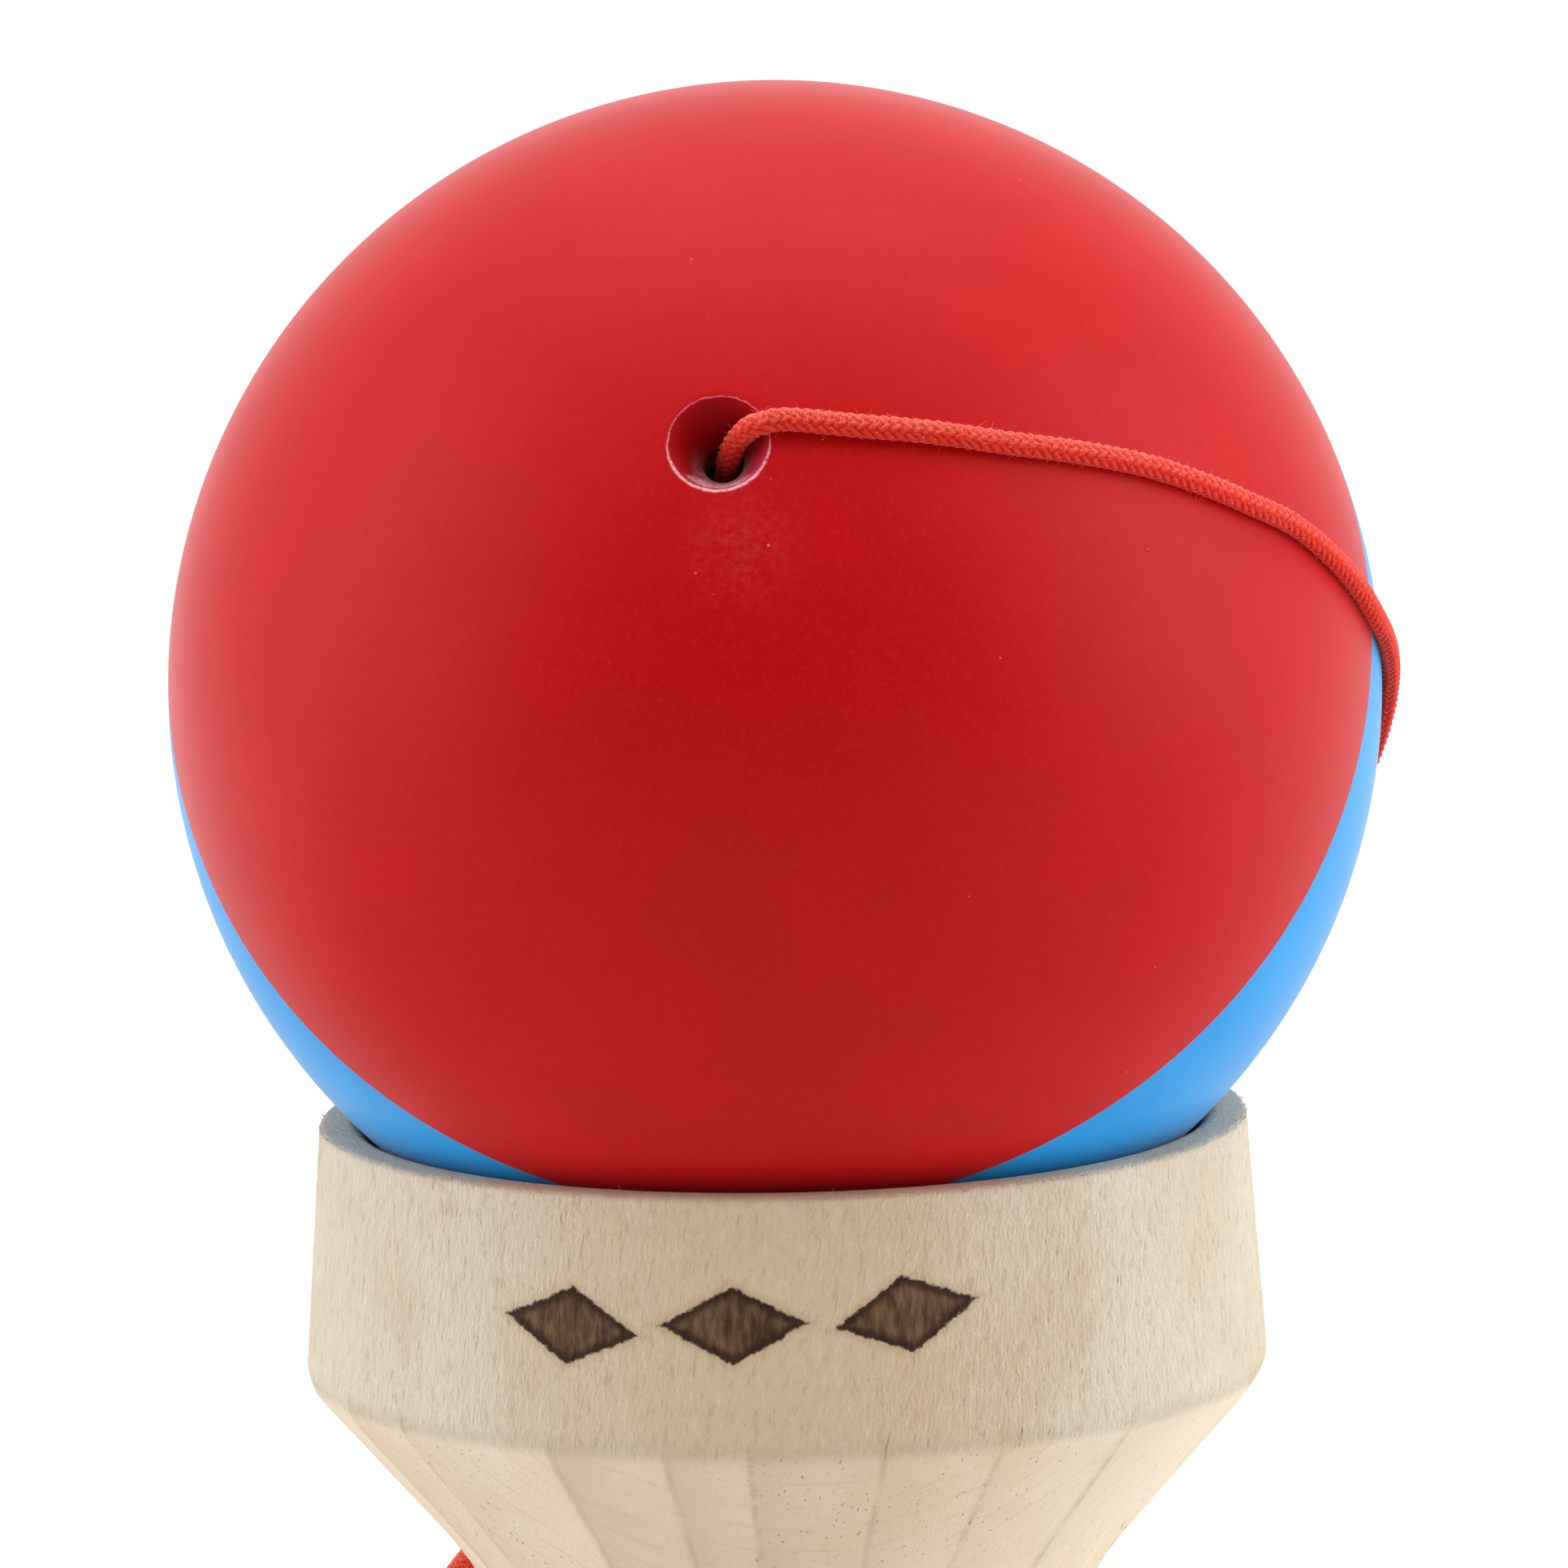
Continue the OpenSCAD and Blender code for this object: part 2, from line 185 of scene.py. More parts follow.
OVER_HANDLE = [
    (-4.5, 23.2, 56), (-8, 20.5, 53.5), (-11.3, 17, 51.5), (-13.6, 13, 49.5),
    (-15.8, 8.5, 47.5), (-18, 4.5, 45.5), (-20.4, 0.7, 43.7), (-23, -3, 42.4),
    (-25, -6.5, 40.1), (-26.5, -8.6, 36.6), (-27.5, -9.3, 32.5), (-28.5, -9.4, 28),
    (-29.5, -9.5, 23), (-30.5, -9.6, 18), (-31.5, -9.9, 13), (-32.6, -10.9, 8.5),
    (-33.8, -12.7, 4.5), (-35.2, -15, 1.8), (-36.1, -17.6, 0.7)]
RISE = [
    (-24, -28.2, 1.3), (-20, -27.6, 0.8), (-16, -26.8, 0.7),
    (-12, -25.9, 0.8), (-8.6, -24.9, 2.2), (-6, -24, 5), (-4.4, -23.2, 8.5),
    (-3.2, -22.6, 12.2), (-2.6, -21.4, 15.2), (-2, -19.6, 18.5), (-1.4, -18.2, 22.5),
    (-0.8, -17.4, 26.5), (-0.3, -17, 30), (0, -16.2, 32.4), (0, -14.6, 33.8),
    (0, -13.4, 34), (0, -12.5, 34)]


def bearing(az, el, r):
    """A place given by two directions in degrees and a distance from the ball's centre."""
    az, el = math.radians(az), math.radians(el)
    offset = Vector((math.sin(az) * math.cos(el), -math.cos(az) * math.cos(el), math.sin(el)))
    return tuple(BALL_CENTRE / MM + offset * (r or STRING_LIE))


def coil_points():
    """Three and a quarter turns: two side by side on the surface, then back out on top."""
    turns, per_turn, start = 3.25, 16, 180.0
    inner, outer = COIL_R - STRING_D / 2, COIL_R + STRING_D / 2
    low, high = STRING_D / 2 + 0.05, STRING_D * 1.5
    radius_at = [(0, outer), (0.85, outer), (1.15, inner), (2.5, inner), (2.95, outer),
                 (turns, outer)]
    height_at = [(0, low), (1.75, low), (2.15, high), (turns, high)]
    points = []
    for i in range(int(turns * per_turn) + 1):
        t = i / per_turn
        a = math.radians(start + 360 * t)
        r = np.interp(t, *zip(*radius_at))
        points.append((COIL_AT[0] + r * math.cos(a), COIL_AT[1] + r * math.sin(a),
                       np.interp(t, *zip(*height_at))))
    return points


def smooth_line(points, step):
    """A centripetal Catmull-Rom curve through the points, resampled at equal steps."""
    p = np.array(points, float)
    p = np.vstack([2 * p[0] - p[1], p, 2 * p[-1] - p[-2]])
    fine = []
    for i in range(1, len(p) - 2):
        p0, p1, p2, p3 = p[i - 1:i + 3]
        t0 = 0.0
        t1 = t0 + np.linalg.norm(p1 - p0) ** 0.5
        t2 = t1 + np.linalg.norm(p2 - p1) ** 0.5
        t3 = t2 + np.linalg.norm(p3 - p2) ** 0.5
        for t in np.linspace(t1, t2, 40, endpoint=False):
            a1 = (t1 - t) / (t1 - t0) * p0 + (t - t0) / (t1 - t0) * p1
            a2 = (t2 - t) / (t2 - t1) * p1 + (t - t1) / (t2 - t1) * p2
            a3 = (t3 - t) / (t3 - t2) * p2 + (t - t2) / (t3 - t2) * p3
            b1 = (t2 - t) / (t2 - t0) * a1 + (t - t0) / (t2 - t0) * a2
            b2 = (t3 - t) / (t3 - t1) * a2 + (t - t1) / (t3 - t1) * a3
            fine.append((t2 - t) / (t2 - t1) * b1 + (t - t1) / (t2 - t1) * b2)
    fine.append(p[-2])
    fine = np.array(fine)
    along = np.concatenate([[0], np.cumsum(np.linalg.norm(np.diff(fine, axis=0), axis=1))])
    at = np.linspace(0, along[-1], int(along[-1] / step) + 1)
    return np.stack([np.interp(at, along, fine[:, k]) for k in range(3)], axis=1)


def carried_frames(line):
    """Headings and two directions across the line at each point, without twist."""
    heading = np.gradient(line, axis=0)
    heading /= np.linalg.norm(heading, axis=1)[:, None]
    side = np.zeros_like(line)
    s = np.cross(heading[0], (0.0, 0.0, 1.0))
    for i, t in enumerate(heading):
        s = s - t * (s @ t)
        s /= np.linalg.norm(s)
        side[i] = s
    return heading, side, np.cross(heading, side)


def new_mesh(name, verts, faces):
    mesh = bpy.data.meshes.new(name)
    mesh.from_pydata(np.asarray(verts, float).tolist(), [], faces)
    mesh.validate()
    mesh.shade_smooth()
    return add(bpy.data.objects.new(name, mesh))


def face_outwards(obj):
    bm = bmesh.new()
    bm.from_mesh(obj.data)
    bmesh.ops.recalc_face_normals(bm, faces=bm.faces)
    bm.to_mesh(obj.data)
    bm.free()
    return obj


def float_attribute(obj, name, values):
    attribute = obj.data.attributes.new(name, "FLOAT", "POINT")
    attribute.data.foreach_set("value", np.asarray(values, np.float32))


BRAID_STRANDS = 8
BRAID_LENGTH = 0.52
BRAID_RELIEF = 0.13


def braid_height(theta, s):
    """Height from 0 to 1 of a braid whose strands cross over two and under two."""
    turn = BRAID_STRANDS * theta / (2 * math.pi)
    u, v = turn + s / BRAID_LENGTH, turn - s / BRAID_LENGTH
    over = (np.floor(u) + np.floor(v)) % 4 < 2
    across = np.where(over, u, v) % 1.0
    float_u = ((np.floor(u) + v) % 4) / 2
    float_v = ((u + np.floor(v)) % 4 - 2) / 2
    lengthwise = np.clip(np.where(over, float_u, float_v), 0, 1)
    crown = np.sin(math.pi * across) ** 0.8
    return crown * (0.45 + 0.55 * np.sin(math.pi * lengthwise) ** 0.8)


def hairs(bases, headings, outs, length, radius, joints=3):
    """Short bent hairs, as three-sided tapering tubes; returns their corners and faces."""
    verts, faces = [], []
    for base, heading, out in zip(bases, headings, outs):
        reach = length[0] + (length[1] - length[0]) * RANDOM.random() ** 2
        bend = RANDOM.normal(0, 0.35, 3)
        across = np.cross(heading, out)
        across /= np.linalg.norm(across) + 1e-9
        first = len(verts)
        for k in range(joints + 1):
            t = k / joints
            centre = base + reach * (t * heading + t * t * (bend + 0.25 * out))
            for j in range(3):
                a = 2 * math.pi * j / 3
                offset = math.cos(a) * across + math.sin(a) * out
                verts.append(centre + offset * radius * (1 - 0.6 * t))
        for k in range(joints):
            for j in range(3):
                c, d = first + 3 * k + j, first + 3 * k + (j + 1) % 3
                faces.append((c, d, d + 3, c + 3))
        last = first + 3 * joints
        faces.append((first + 2, first + 1, first))
        faces.append((last, last + 1, last + 2))
    return verts, faces


HAIR_REACH = (0.08, 0.42)
HAIR_R = 0.012
HAIR_HEIGHT = 1.6


def string_hairs(line, heading, side, up, per_mm):
    """Hairs that stand off the string, mostly lying along it, and none in the floor."""
    count = int(per_mm * len(line) * np.linalg.norm(line[1] - line[0]))
    bases, headings, outs = [], [], []
    for i in RANDOM.integers(4, len(line) - 4, count):
        a = RANDOM.random() * 2 * math.pi
        out = math.cos(a) * side[i] + math.sin(a) * up[i]
        along = heading[i] * RANDOM.choice((-1, 1)) + out * (0.1 + 0.4 * RANDOM.random())
        along += RANDOM.normal(0, 0.35, 3)
        bases.append(line[i] + out * (STRING_D / 2 - 0.07))
        headings.append(along / np.linalg.norm(along))
        outs.append(out)
    verts, faces = hairs(bases, headings, outs, HAIR_REACH, HAIR_R, joints=2)
    verts = np.array(verts)
    verts[:, 2] = np.maximum(verts[:, 2], HAIR_R + 0.008)
    return verts, faces


def braided_tube(line, side, up, sides):
    """A tube along the line with the braid as its relief: its corners, faces and heights."""
    n = len(line)
    along = np.arange(n) * np.linalg.norm(line[1] - line[0])
    theta = np.arange(sides) * 2 * math.pi / sides
    s_grid, t_grid = np.meshgrid(along, theta, indexing="ij")
    height = braid_height(t_grid, s_grid)
    radius = STRING_D / 2 - BRAID_RELIEF * (1 - height)
    across = radius[..., None] * (
        np.cos(t_grid)[..., None] * side[:, None, :] + np.sin(t_grid)[..., None] * up[:, None, :])
    # Where the string lies on the ball it is pressed a little flat
    from_ball = line - np.array(BALL_CENTRE) / MM
    distance = np.linalg.norm(from_ball, axis=1)
    pressed = STRING_FLATTENING * np.clip(1.5 - np.abs(distance - STRING_LIE) / 0.3, 0, 1)
    outward = (from_ball / distance[:, None])[:, None, :]
    thick = (across * outward).sum(axis=2, keepdims=True) * outward
    verts = line[:, None, :] + across - pressed[:, None, None] * thick
    faces = []
    for i in range(n - 1):
        a, b = i * sides, (i + 1) * sides
        faces += [(a + k, a + (k + 1) % sides, b + (k + 1) % sides, b + k) for k in range(sides)]
    faces.append(tuple(range(sides - 1, -1, -1)))
    faces.append(tuple(range((n - 1) * sides, n * sides)))
    return verts.reshape(-1, 3).tolist(), faces, height.ravel()


def make_string():
    """One braided cord from the ball's hole to the crosspiece's, with its hairs. The height
    attribute is 0 between the strands, 1 on top of them, and more on the hairs."""
    points = ([bearing(*p) for p in OVER_BALL] + BEHIND_CUP + OVER_HANDLE
              + coil_points() + RISE)
    step, sides, hairs_per_mm = ((0.08, 40, 25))
    line = smooth_line(points, step)
    heading, side, up = carried_frames(line)
    verts, faces, heights = braided_tube(line, side, up, sides)
    hair_verts, hair_faces = string_hairs(line, heading, side, up, hairs_per_mm)
    first = len(verts)
    verts += [tuple(v) for v in hair_verts]
    faces += [tuple(first + k for k in face) for face in hair_faces]
    obj = new_mesh("string", np.array(verts) * MM, faces)
    hair_heights = np.full(len(hair_verts), HAIR_HEIGHT)
    float_attribute(obj, "height", np.concatenate([heights, hair_heights]))
    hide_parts("string_over_ball", "string_behind_cup", "string_over_handle",
                "string_coil", "string_rise")
    return obj, line


string, string_line = make_string()


# ---------------------------------------------------------------- turned shapes

def polar(c, r, a):
    """The outline's point at distance r from c, a degrees from its height towards its radius."""
    a = math.radians(a)
    return (c[0] + r * math.sin(a), c[1] + r * math.cos(a))


def arc(c, r, start, end, steps):
    return [polar(c, r, start + (end - start) * i / steps) for i in range(steps + 1)]


def lip_x(bowl_r, depth, lip):
    """How far out the middle of a cup's rounded lip is, for the lip to meet the bowl."""
    return math.sqrt((bowl_r + lip) ** 2 - (lip - (depth - bowl_r)) ** 2)


RIM_EDGE = 0.35


def cup_outline(rim_r, wide_r, side_h, bowl_r, depth, lip, neck_r, cove, bevel):
    """[radius, depth below the rim] from the hollow's centre out, over and down to the neck."""
    bowl = (0.0, depth - bowl_r)
    lip_c = (lip_x(bowl_r, depth, lip), lip)
    touch = math.degrees(math.atan2(lip_c[0], lip - bowl[1]))
    b = math.radians(bevel)
    corner = (wide_r - CORNER_R + CORNER_R * math.cos(b), side_h + CORNER_R * math.sin(b))
    cove_start = neck_r + cove * (1 - math.cos(b))
    neck = corner[1] + (corner[0] - cove_start) / math.tan(b) + cove * math.sin(b)
    return (arc(bowl, bowl_r, 0, touch, 60)
            + arc(lip_c, lip, 180 + touch, 180, 12)
            + arc((rim_r - RIM_EDGE, RIM_EDGE), RIM_EDGE, 180, 90, 8)
            + arc((wide_r - CORNER_R, side_h), CORNER_R, 90, 90 - bevel, 12)
            + arc((neck_r + cove, neck), cove, 270 - bevel, 270, 30))


def refine(outline, step):
    """The outline again, with its long straight stretches divided."""
    out = [outline[0]]
    for a, b in zip(outline, outline[1:]):
        n = max(1, math.ceil(math.dist(a, b) / step))
        if math.dist(a, b) > 1e-6:
            out += [(a[0] + (b[0] - a[0]) * i / n, a[1] + (b[1] - a[1]) * i / n)
                    for i in range(1, n + 1)]
    return out


def lathe(name, outline, segments, closed=False, shape=None):
    """A surface turned from (radius, height) points in mm; shape may move each point."""
    angles = np.arange(segments) * 2 * math.pi / segments
    verts, faces, rings = [], [], []
    for r, h in outline:
        first = len(verts)
        if r < 1e-6:
            verts.append((0.0, 0.0, h * MM))
            rings.append([first] * segments)
            continue
        radii = np.full(segments, r) if shape is None else shape(r, h, angles)
        verts += [(x * MM, y * MM, h * MM)
                  for x, y in zip(radii * np.cos(angles), radii * np.sin(angles))]
        rings.append(list(range(first, first + segments)))
    pairs = list(zip(rings, rings[1:])) + ([(rings[-1], rings[0])] if closed else [])
    for a, b in pairs:
        for k in range(segments):
            m = (k + 1) % segments
            face = tuple(dict.fromkeys((a[k], a[m], b[m], b[k])))
            if len(face) > 2:
                faces.append(face)
    return face_outwards(new_mesh(name, verts, faces))


SHARP_ANGLE = 30


def keep_edges(obj):
    obj.data.shade_smooth()
    obj.data.set_sharp_from_angle(angle=math.radians(SHARP_ANGLE))


def cut(obj, *cutters):
    """Cuts the cutters out of the piece and removes them."""
    for c in cutters:
        m = obj.modifiers.new("cut", "BOOLEAN")
        m.operation = "DIFFERENCE"
        m.solver = "EXACT"
        m.object = c
    bpy.context.view_layer.update()
    evaluated = obj.evaluated_get(bpy.context.evaluated_depsgraph_get())
    mesh = bpy.data.meshes.new_from_object(evaluated)
    obj.modifiers.clear()
    old = obj.data
    obj.data = mesh
    mesh.name = old.name
    bpy.data.meshes.remove(old)
    for c in cutters:
        data = c.data
        bpy.data.objects.remove(c)
        bpy.data.meshes.remove(data)
    keep_edges(obj)


class Facets:
    """The flat bands, of uneven width, that sanding leaves round a turned slope. Edges are in
    degrees from +X towards +Y, and strength is how flat the bands are, up to 1."""

    def __init__(self, edges, strength):
        self.edges = np.sort(np.radians(np.array(edges, float) % 360))
        self.ends = np.roll(self.edges, -1)
        self.ends[-1] += 2 * math.pi
        self.tones = RANDOM.random(len(self.edges))
        self.strength = strength

    def place(self, angles):
        """Which band each angle is on, and how far across it from 0 to 1."""
        angles = np.where(angles < self.edges[0], angles + 2 * math.pi, angles)
        k = np.searchsorted(self.edges, angles, side="right") - 1
        return k, (angles - self.edges[k]) / (self.ends[k] - self.edges[k])

    def radii(self, r, amount, angles):
        k, t = self.place(angles)
        half = (self.ends[k] - self.edges[k]) / 2
        sag = 1 / np.cos((2 * t - 1) * half) - 1 - (1 / np.cos(half) - 1) * 0.5
        return r * (1 + self.strength * amount * sag)

    # Painted shade: each band is darkest at its first edge and lightens across it, on top of a random
    # tone of its own
    def tone(self, angles):
        k, t = self.place(angles)
        return 0.55 * (1 - t) ** 2 + 0.45 * self.tones[k]


def spread_edges(start, end, count):
    """Edges from start to before end, in degrees, at uneven steps."""
    steps = 0.65 + 0.7 * RANDOM.random(count)
    return start + (end - start) * np.concatenate([[0], np.cumsum(steps)[:-1]]) / steps.sum()


def step_up(x, low, high):
    t = min(1.0, max(0.0, (x - low) / (high - low)))
    return t * t * (3 - 2 * t)


def saddle_cutter(name, radius, flare, host_r, length):
    """A cylinder along X whose ends flare where it leaves a round body, for an eased edge."""
    segments = 128
    angles = np.arange(segments) * 2 * math.pi / segments
    surface = np.sqrt(host_r ** 2 - (radius * np.cos(angles)) ** 2)
    stations = [(-length, flare * 3, False), (-1, flare * 2.2, True), (flare, 0.0, True)]
    stations += [(-s, f, t) for s, f, t in reversed(stations)]
    verts, faces = [], []
    for i, (offset, extra, on_surface) in enumerate(stations):
        sign = -1 if i < 3 else 1
        if not on_surface:
            x = np.full(segments, sign * length)
        elif extra > 0:
            x = sign * (surface + flare * 1.2)
        else:
            x = sign * (surface - flare)
        r = radius + extra
        verts += list(zip(x * MM, r * np.cos(angles) * MM, r * np.sin(angles) * MM))
    for i in range(len(stations) - 1):
        a, b = i * segments, (i + 1) * segments
        faces += [(a + k, b + k, b + (k + 1) % segments, a + (k + 1) % segments)
                  for k in range(segments)]
    faces.append(tuple(range(segments)))
    faces.append(tuple(range(len(verts) - 1, len(verts) - 1 - segments, -1)))
    return face_outwards(new_mesh(name, verts, faces))


# Turns a cutter's +Z to +Y
ALONG_Y = Matrix.Rotation(math.radians(-90), 4, "X")


def drill(name, points, matrix):
    """A turned cutter, placed by a matrix."""
    obj = lathe(name, points, 48)
    obj.data.transform(matrix)
    return obj


def settle(obj, matrix=None):
    """Keeps each corner's place in the piece's own frame, for its material, and then
    moves the mesh to where the piece is."""
    mesh = obj.data
    places = np.empty(len(mesh.vertices) * 3, np.float32)
    mesh.vertices.foreach_get("co", places)
    attribute = mesh.attributes.new("place", "FLOAT_VECTOR", "POINT")
    attribute.data.foreach_set("vector", places / MM)
    if matrix is not None:
        mesh.transform(matrix)
        mesh.update()


# How many segments a turned piece has
ROUND = 480

# Where the sanded bands on the cups' slopes meet, from -Y towards +X: these as seen
# from the front, and the rest spread over the back
FRONT_EDGES = (-52, -29, -14.5, -4.5, 11, 25.5, 43.5, 72.5)
CUP_FACETS = Facets([270 + a for a in (*FRONT_EDGES, *spread_edges(96, 308, 12))], 0.5)


def band_attribute(obj, facets):
    coordinates = np.empty(len(obj.data.vertices) * 3)
    obj.data.vertices.foreach_get("co", coordinates)
    x, y = coordinates[0::3], coordinates[1::3]
    float_attribute(obj, "band", facets.tone(np.arctan2(y, x) % (2 * math.pi)))


def grow_rim_hairs(obj, count):
    """Torn wood fibres along the large cup's rim and the top of its side."""
    rim_r, wide_r, side_h = LARGE_CUP["rim_r"], LARGE_CUP["wide_r"], LARGE_CUP["side_h"]
    rim_width, longest_drop = 0.45, 11
    bases, headings, outs = [], [], []
    for _ in range(count):
        a = RANDOM.random() * 2 * math.pi
        out = np.array((math.cos(a), math.sin(a), 0.0))
        if RANDOM.random() < 0.55:
            r, z = rim_r - rim_width * (1 - RANDOM.random()), CROSS_H - 0.12
            lift = out * 0.5 + np.array((0, 0, 0.6))
        else:
            drop = longest_drop * RANDOM.random() ** 1.5
            r, z = rim_r + (wide_r - rim_r) * drop / side_h - 0.02, CROSS_H - 0.3 - drop
            lift = out * 0.3 + np.array((0, 0, RANDOM.choice((-1, 1))))
        direction = lift + RANDOM.normal(0, 0.3, 3)
        bases.append(out * r + np.array((0, 0, z)))
        headings.append(direction / np.linalg.norm(direction))
        outs.append(out)
    verts, faces = hairs(bases, headings, outs, (0.08, 0.35), 0.014)
    extra = bpy.data.meshes.new("hairs")
    extra.from_pydata((np.array(verts) * MM).tolist(), [], faces)
    extra.shade_smooth()
    bm = bmesh.new()
    bm.from_mesh(obj.data)
    bm.from_mesh(extra)
    bm.to_mesh(obj.data)
    bm.free()
    bpy.data.meshes.remove(extra)


def make_crosspiece():
    lower = cup_outline(**SMALL_CUP)
    upper = [(r, CROSS_H - d) for r, d in reversed(cup_outline(**LARGE_CUP))]

    def shape(r, h, angles):
        from_rim = min(h, CROSS_H - h)
        return CUP_FACETS.radii(r, step_up(from_rim, 11.8, 14.0), angles)

    obj = lathe("crosspiece_wood", refine(lower + upper, 0.5), ROUND, shape=shape)
    bore = saddle_cutter("bore", TENON_R, 0.35, WAIST_R, WAIST_R + 3)
    bore.data.transform(Matrix.Translation((0, 0, HANDLE_Z * MM)))
    hole = drill("string_hole", [(0, -15), (WOOD_HOLE_SINK_R, -15), (WOOD_HOLE_R, -12),
                                 (WOOD_HOLE_R, -5), (0, -5)],
                 Matrix.Translation((0, 0, HANDLE_Z * MM)) @ ALONG_Y)
    cut(obj, bore, hole)
    grow_rim_hairs(obj, 5000)
    band_attribute(obj, CUP_FACETS)
    settle(obj)
    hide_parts("crosspiece")
    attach(obj, ROOT)
    return obj


def make_handle():
    shoulder = BASE_LEN - WAIST_R - 0.3
    tenon_end = BASE_LEN + WAIST_R + 0.5
    tenon_r = TENON_R - 0.02
    outline = (cup_outline(**BASE_CUP)
               + [(GRIP_R, shoulder - 1)]
               + arc((GRIP_R - SHOULDER_ROUND, shoulder - SHOULDER_ROUND), SHOULDER_ROUND, 90, 0, 8)
               + [(tenon_r, shoulder + 0.01), (tenon_r, tenon_end)]
               + arc((SPIKE_TIP_R - SPIKE_ROUND, HANDLE_LEN - SPIKE_ROUND), SPIKE_ROUND, 80, 0, 16)
               + [(0, HANDLE_LEN)])
    facets = Facets(spread_edges(0, 360, 22), 0.3)

    def shape(r, h, angles):
        on_grip = step_up(h, 8, 12) * (1 - step_up(h, shoulder - 4, shoulder - 1))
        return facets.radii(r, on_grip, angles)

    obj = lathe("handle_wood", refine(outline, 1.0), ROUND * 2 // 3, shape=shape)
    cut(obj, drill("string_way", [(0, -9), (WOOD_HOLE_R, -9), (WOOD_HOLE_R, KNOT_POCKET_Y),
                                  (KNOT_POCKET_R, KNOT_POCKET_Y), (KNOT_POCKET_R, 9), (0, 9)],
                   Matrix.Translation((0, 0, BASE_LEN * MM)) @ ALONG_Y))
    band_attribute(obj, facets)
    settle(obj, Matrix.Translation((-BASE_LEN * MM, 0, HANDLE_Z * MM))
           @ Matrix.Rotation(math.radians(90), 4, "Y"))
    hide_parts("handle")
    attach(obj, ROOT)
    return obj


def ball_matrix():
    """The ball's own frame, whose +Z leaves by the string hole."""
    rotation = (Matrix.Rotation(math.radians(HOLE_AZ), 4, "Z")
                @ Matrix.Rotation(math.radians(90 - HOLE_EL), 4, "X"))
    assert (rotation @ Vector((0, 0, 1)) - HOLE_DIRECTION).length < 1e-4
    return Matrix.Translation(BALL_CENTRE) @ rotation


def sphere_arc(radius, start_h, end_h, steps):
    start, end = math.degrees(math.acos(start_h / radius)), math.degrees(math.acos(end_h / radius))
    return arc((0, 0), radius, start, end, steps)


def bevel_meets(radius):
    """How far along the spike hole's 45-degree bevel it reaches a sphere of that radius."""
    a, b = 2.0, 2 * (SPIKE_HOLE_R - MOUTH_Z)
    c = SPIKE_HOLE_R ** 2 + MOUTH_Z ** 2 - radius ** 2
    return (-b + math.sqrt(b * b - 4 * a * c)) / (2 * a)


SINK_TOP = math.sqrt(BALL_R ** 2 - SINK_R ** 2)
SINK_LOW = SINK_TOP - (SINK_R - STRING_HOLE_R) / SINK_SLOPE
CORE_SINK_R = SINK_R - (BALL_R - CORE_R) * SINK_SLOPE


def tilt_boundary(obj):
    """Turns the colour boundary of a coat of paint from the string hole's direction to its
    own, and leaves the coat's far end where it is."""
    az, el = math.radians(SEAM_AZ), math.radians(SEAM_EL)
    facing = Vector((math.sin(az) * math.cos(el), -math.cos(az) * math.cos(el), math.sin(el)))
    facing = ball_matrix().to_3x3().inverted() @ facing
    for vertex in obj.data.vertices:
        p = vertex.co / MM
        r, across = p.length, math.hypot(p.x, p.y)
        theta, phi = math.atan2(across, p.z), math.atan2(p.y, p.x)
        level = math.acos(COAT_SPLIT / r)
        lean = facing.x * math.cos(phi) + facing.y * math.sin(phi)
        span = math.hypot(lean, facing.z)
        target = math.atan2(lean, facing.z) + math.acos(COAT_SPLIT / (r * span))
        if theta < level:
            weight = step_up(math.degrees(theta), 12, 75)
        else:
            weight = step_up(-math.degrees(theta), -145, -88)
        theta += (target - level) * weight
        vertex.co = Vector((math.sin(theta) * math.cos(phi), math.sin(theta) * math.sin(phi),
                            math.cos(theta))) * (r * MM)


def make_red_paint():
    lining, edge = 0.07, 0.05
    r_low = STRING_HOLE_R - lining
    rim_h = math.sqrt(BALL_R ** 2 - (SINK_R + edge) ** 2)
    outline = ([(r_low, SINK_LOW - PAINT_IN_BORE), (r_low, SINK_LOW),
                (SINK_R - edge * SINK_SLOPE - lining, SINK_TOP - edge),
                (SINK_R - 0.02, SINK_TOP - 0.015)]
               + sphere_arc(BALL_R, rim_h, COAT_SPLIT + 0.04, 150)
               + [(math.sqrt((BALL_R - 0.03) ** 2 - COAT_SPLIT ** 2), COAT_SPLIT)]
               + sphere_arc(CORE_R + 0.01, COAT_SPLIT, math.sqrt(CORE_R ** 2 - CORE_SINK_R ** 2), 90)
               + [(STRING_HOLE_R, SINK_LOW), (STRING_HOLE_R, SINK_LOW - PAINT_IN_BORE)])
    obj = lathe("ball_red_paint", refine(outline, 1.0), ROUND, closed=True)
    tilt_boundary(obj)
    keep_edges(obj)
    settle(obj, ball_matrix())
    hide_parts("ball_red_coat")
    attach(obj, BALL)
    return obj


def make_blue_paint():
    outer, inner = BALL_R - 0.02, CORE_R + 0.01
    end, back = bevel_meets(outer), bevel_meets(inner)
    outline = (sphere_arc(outer, COAT_SPLIT, MOUTH_Z - end, 160)
               + sphere_arc(inner, MOUTH_Z - back, COAT_SPLIT, 90))
    obj = lathe("ball_blue_paint", outline, ROUND, closed=True)
    tilt_boundary(obj)
    keep_edges(obj)
    settle(obj, ball_matrix())
    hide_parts("ball_blue_coat")
    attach(obj, BALL)
    return obj


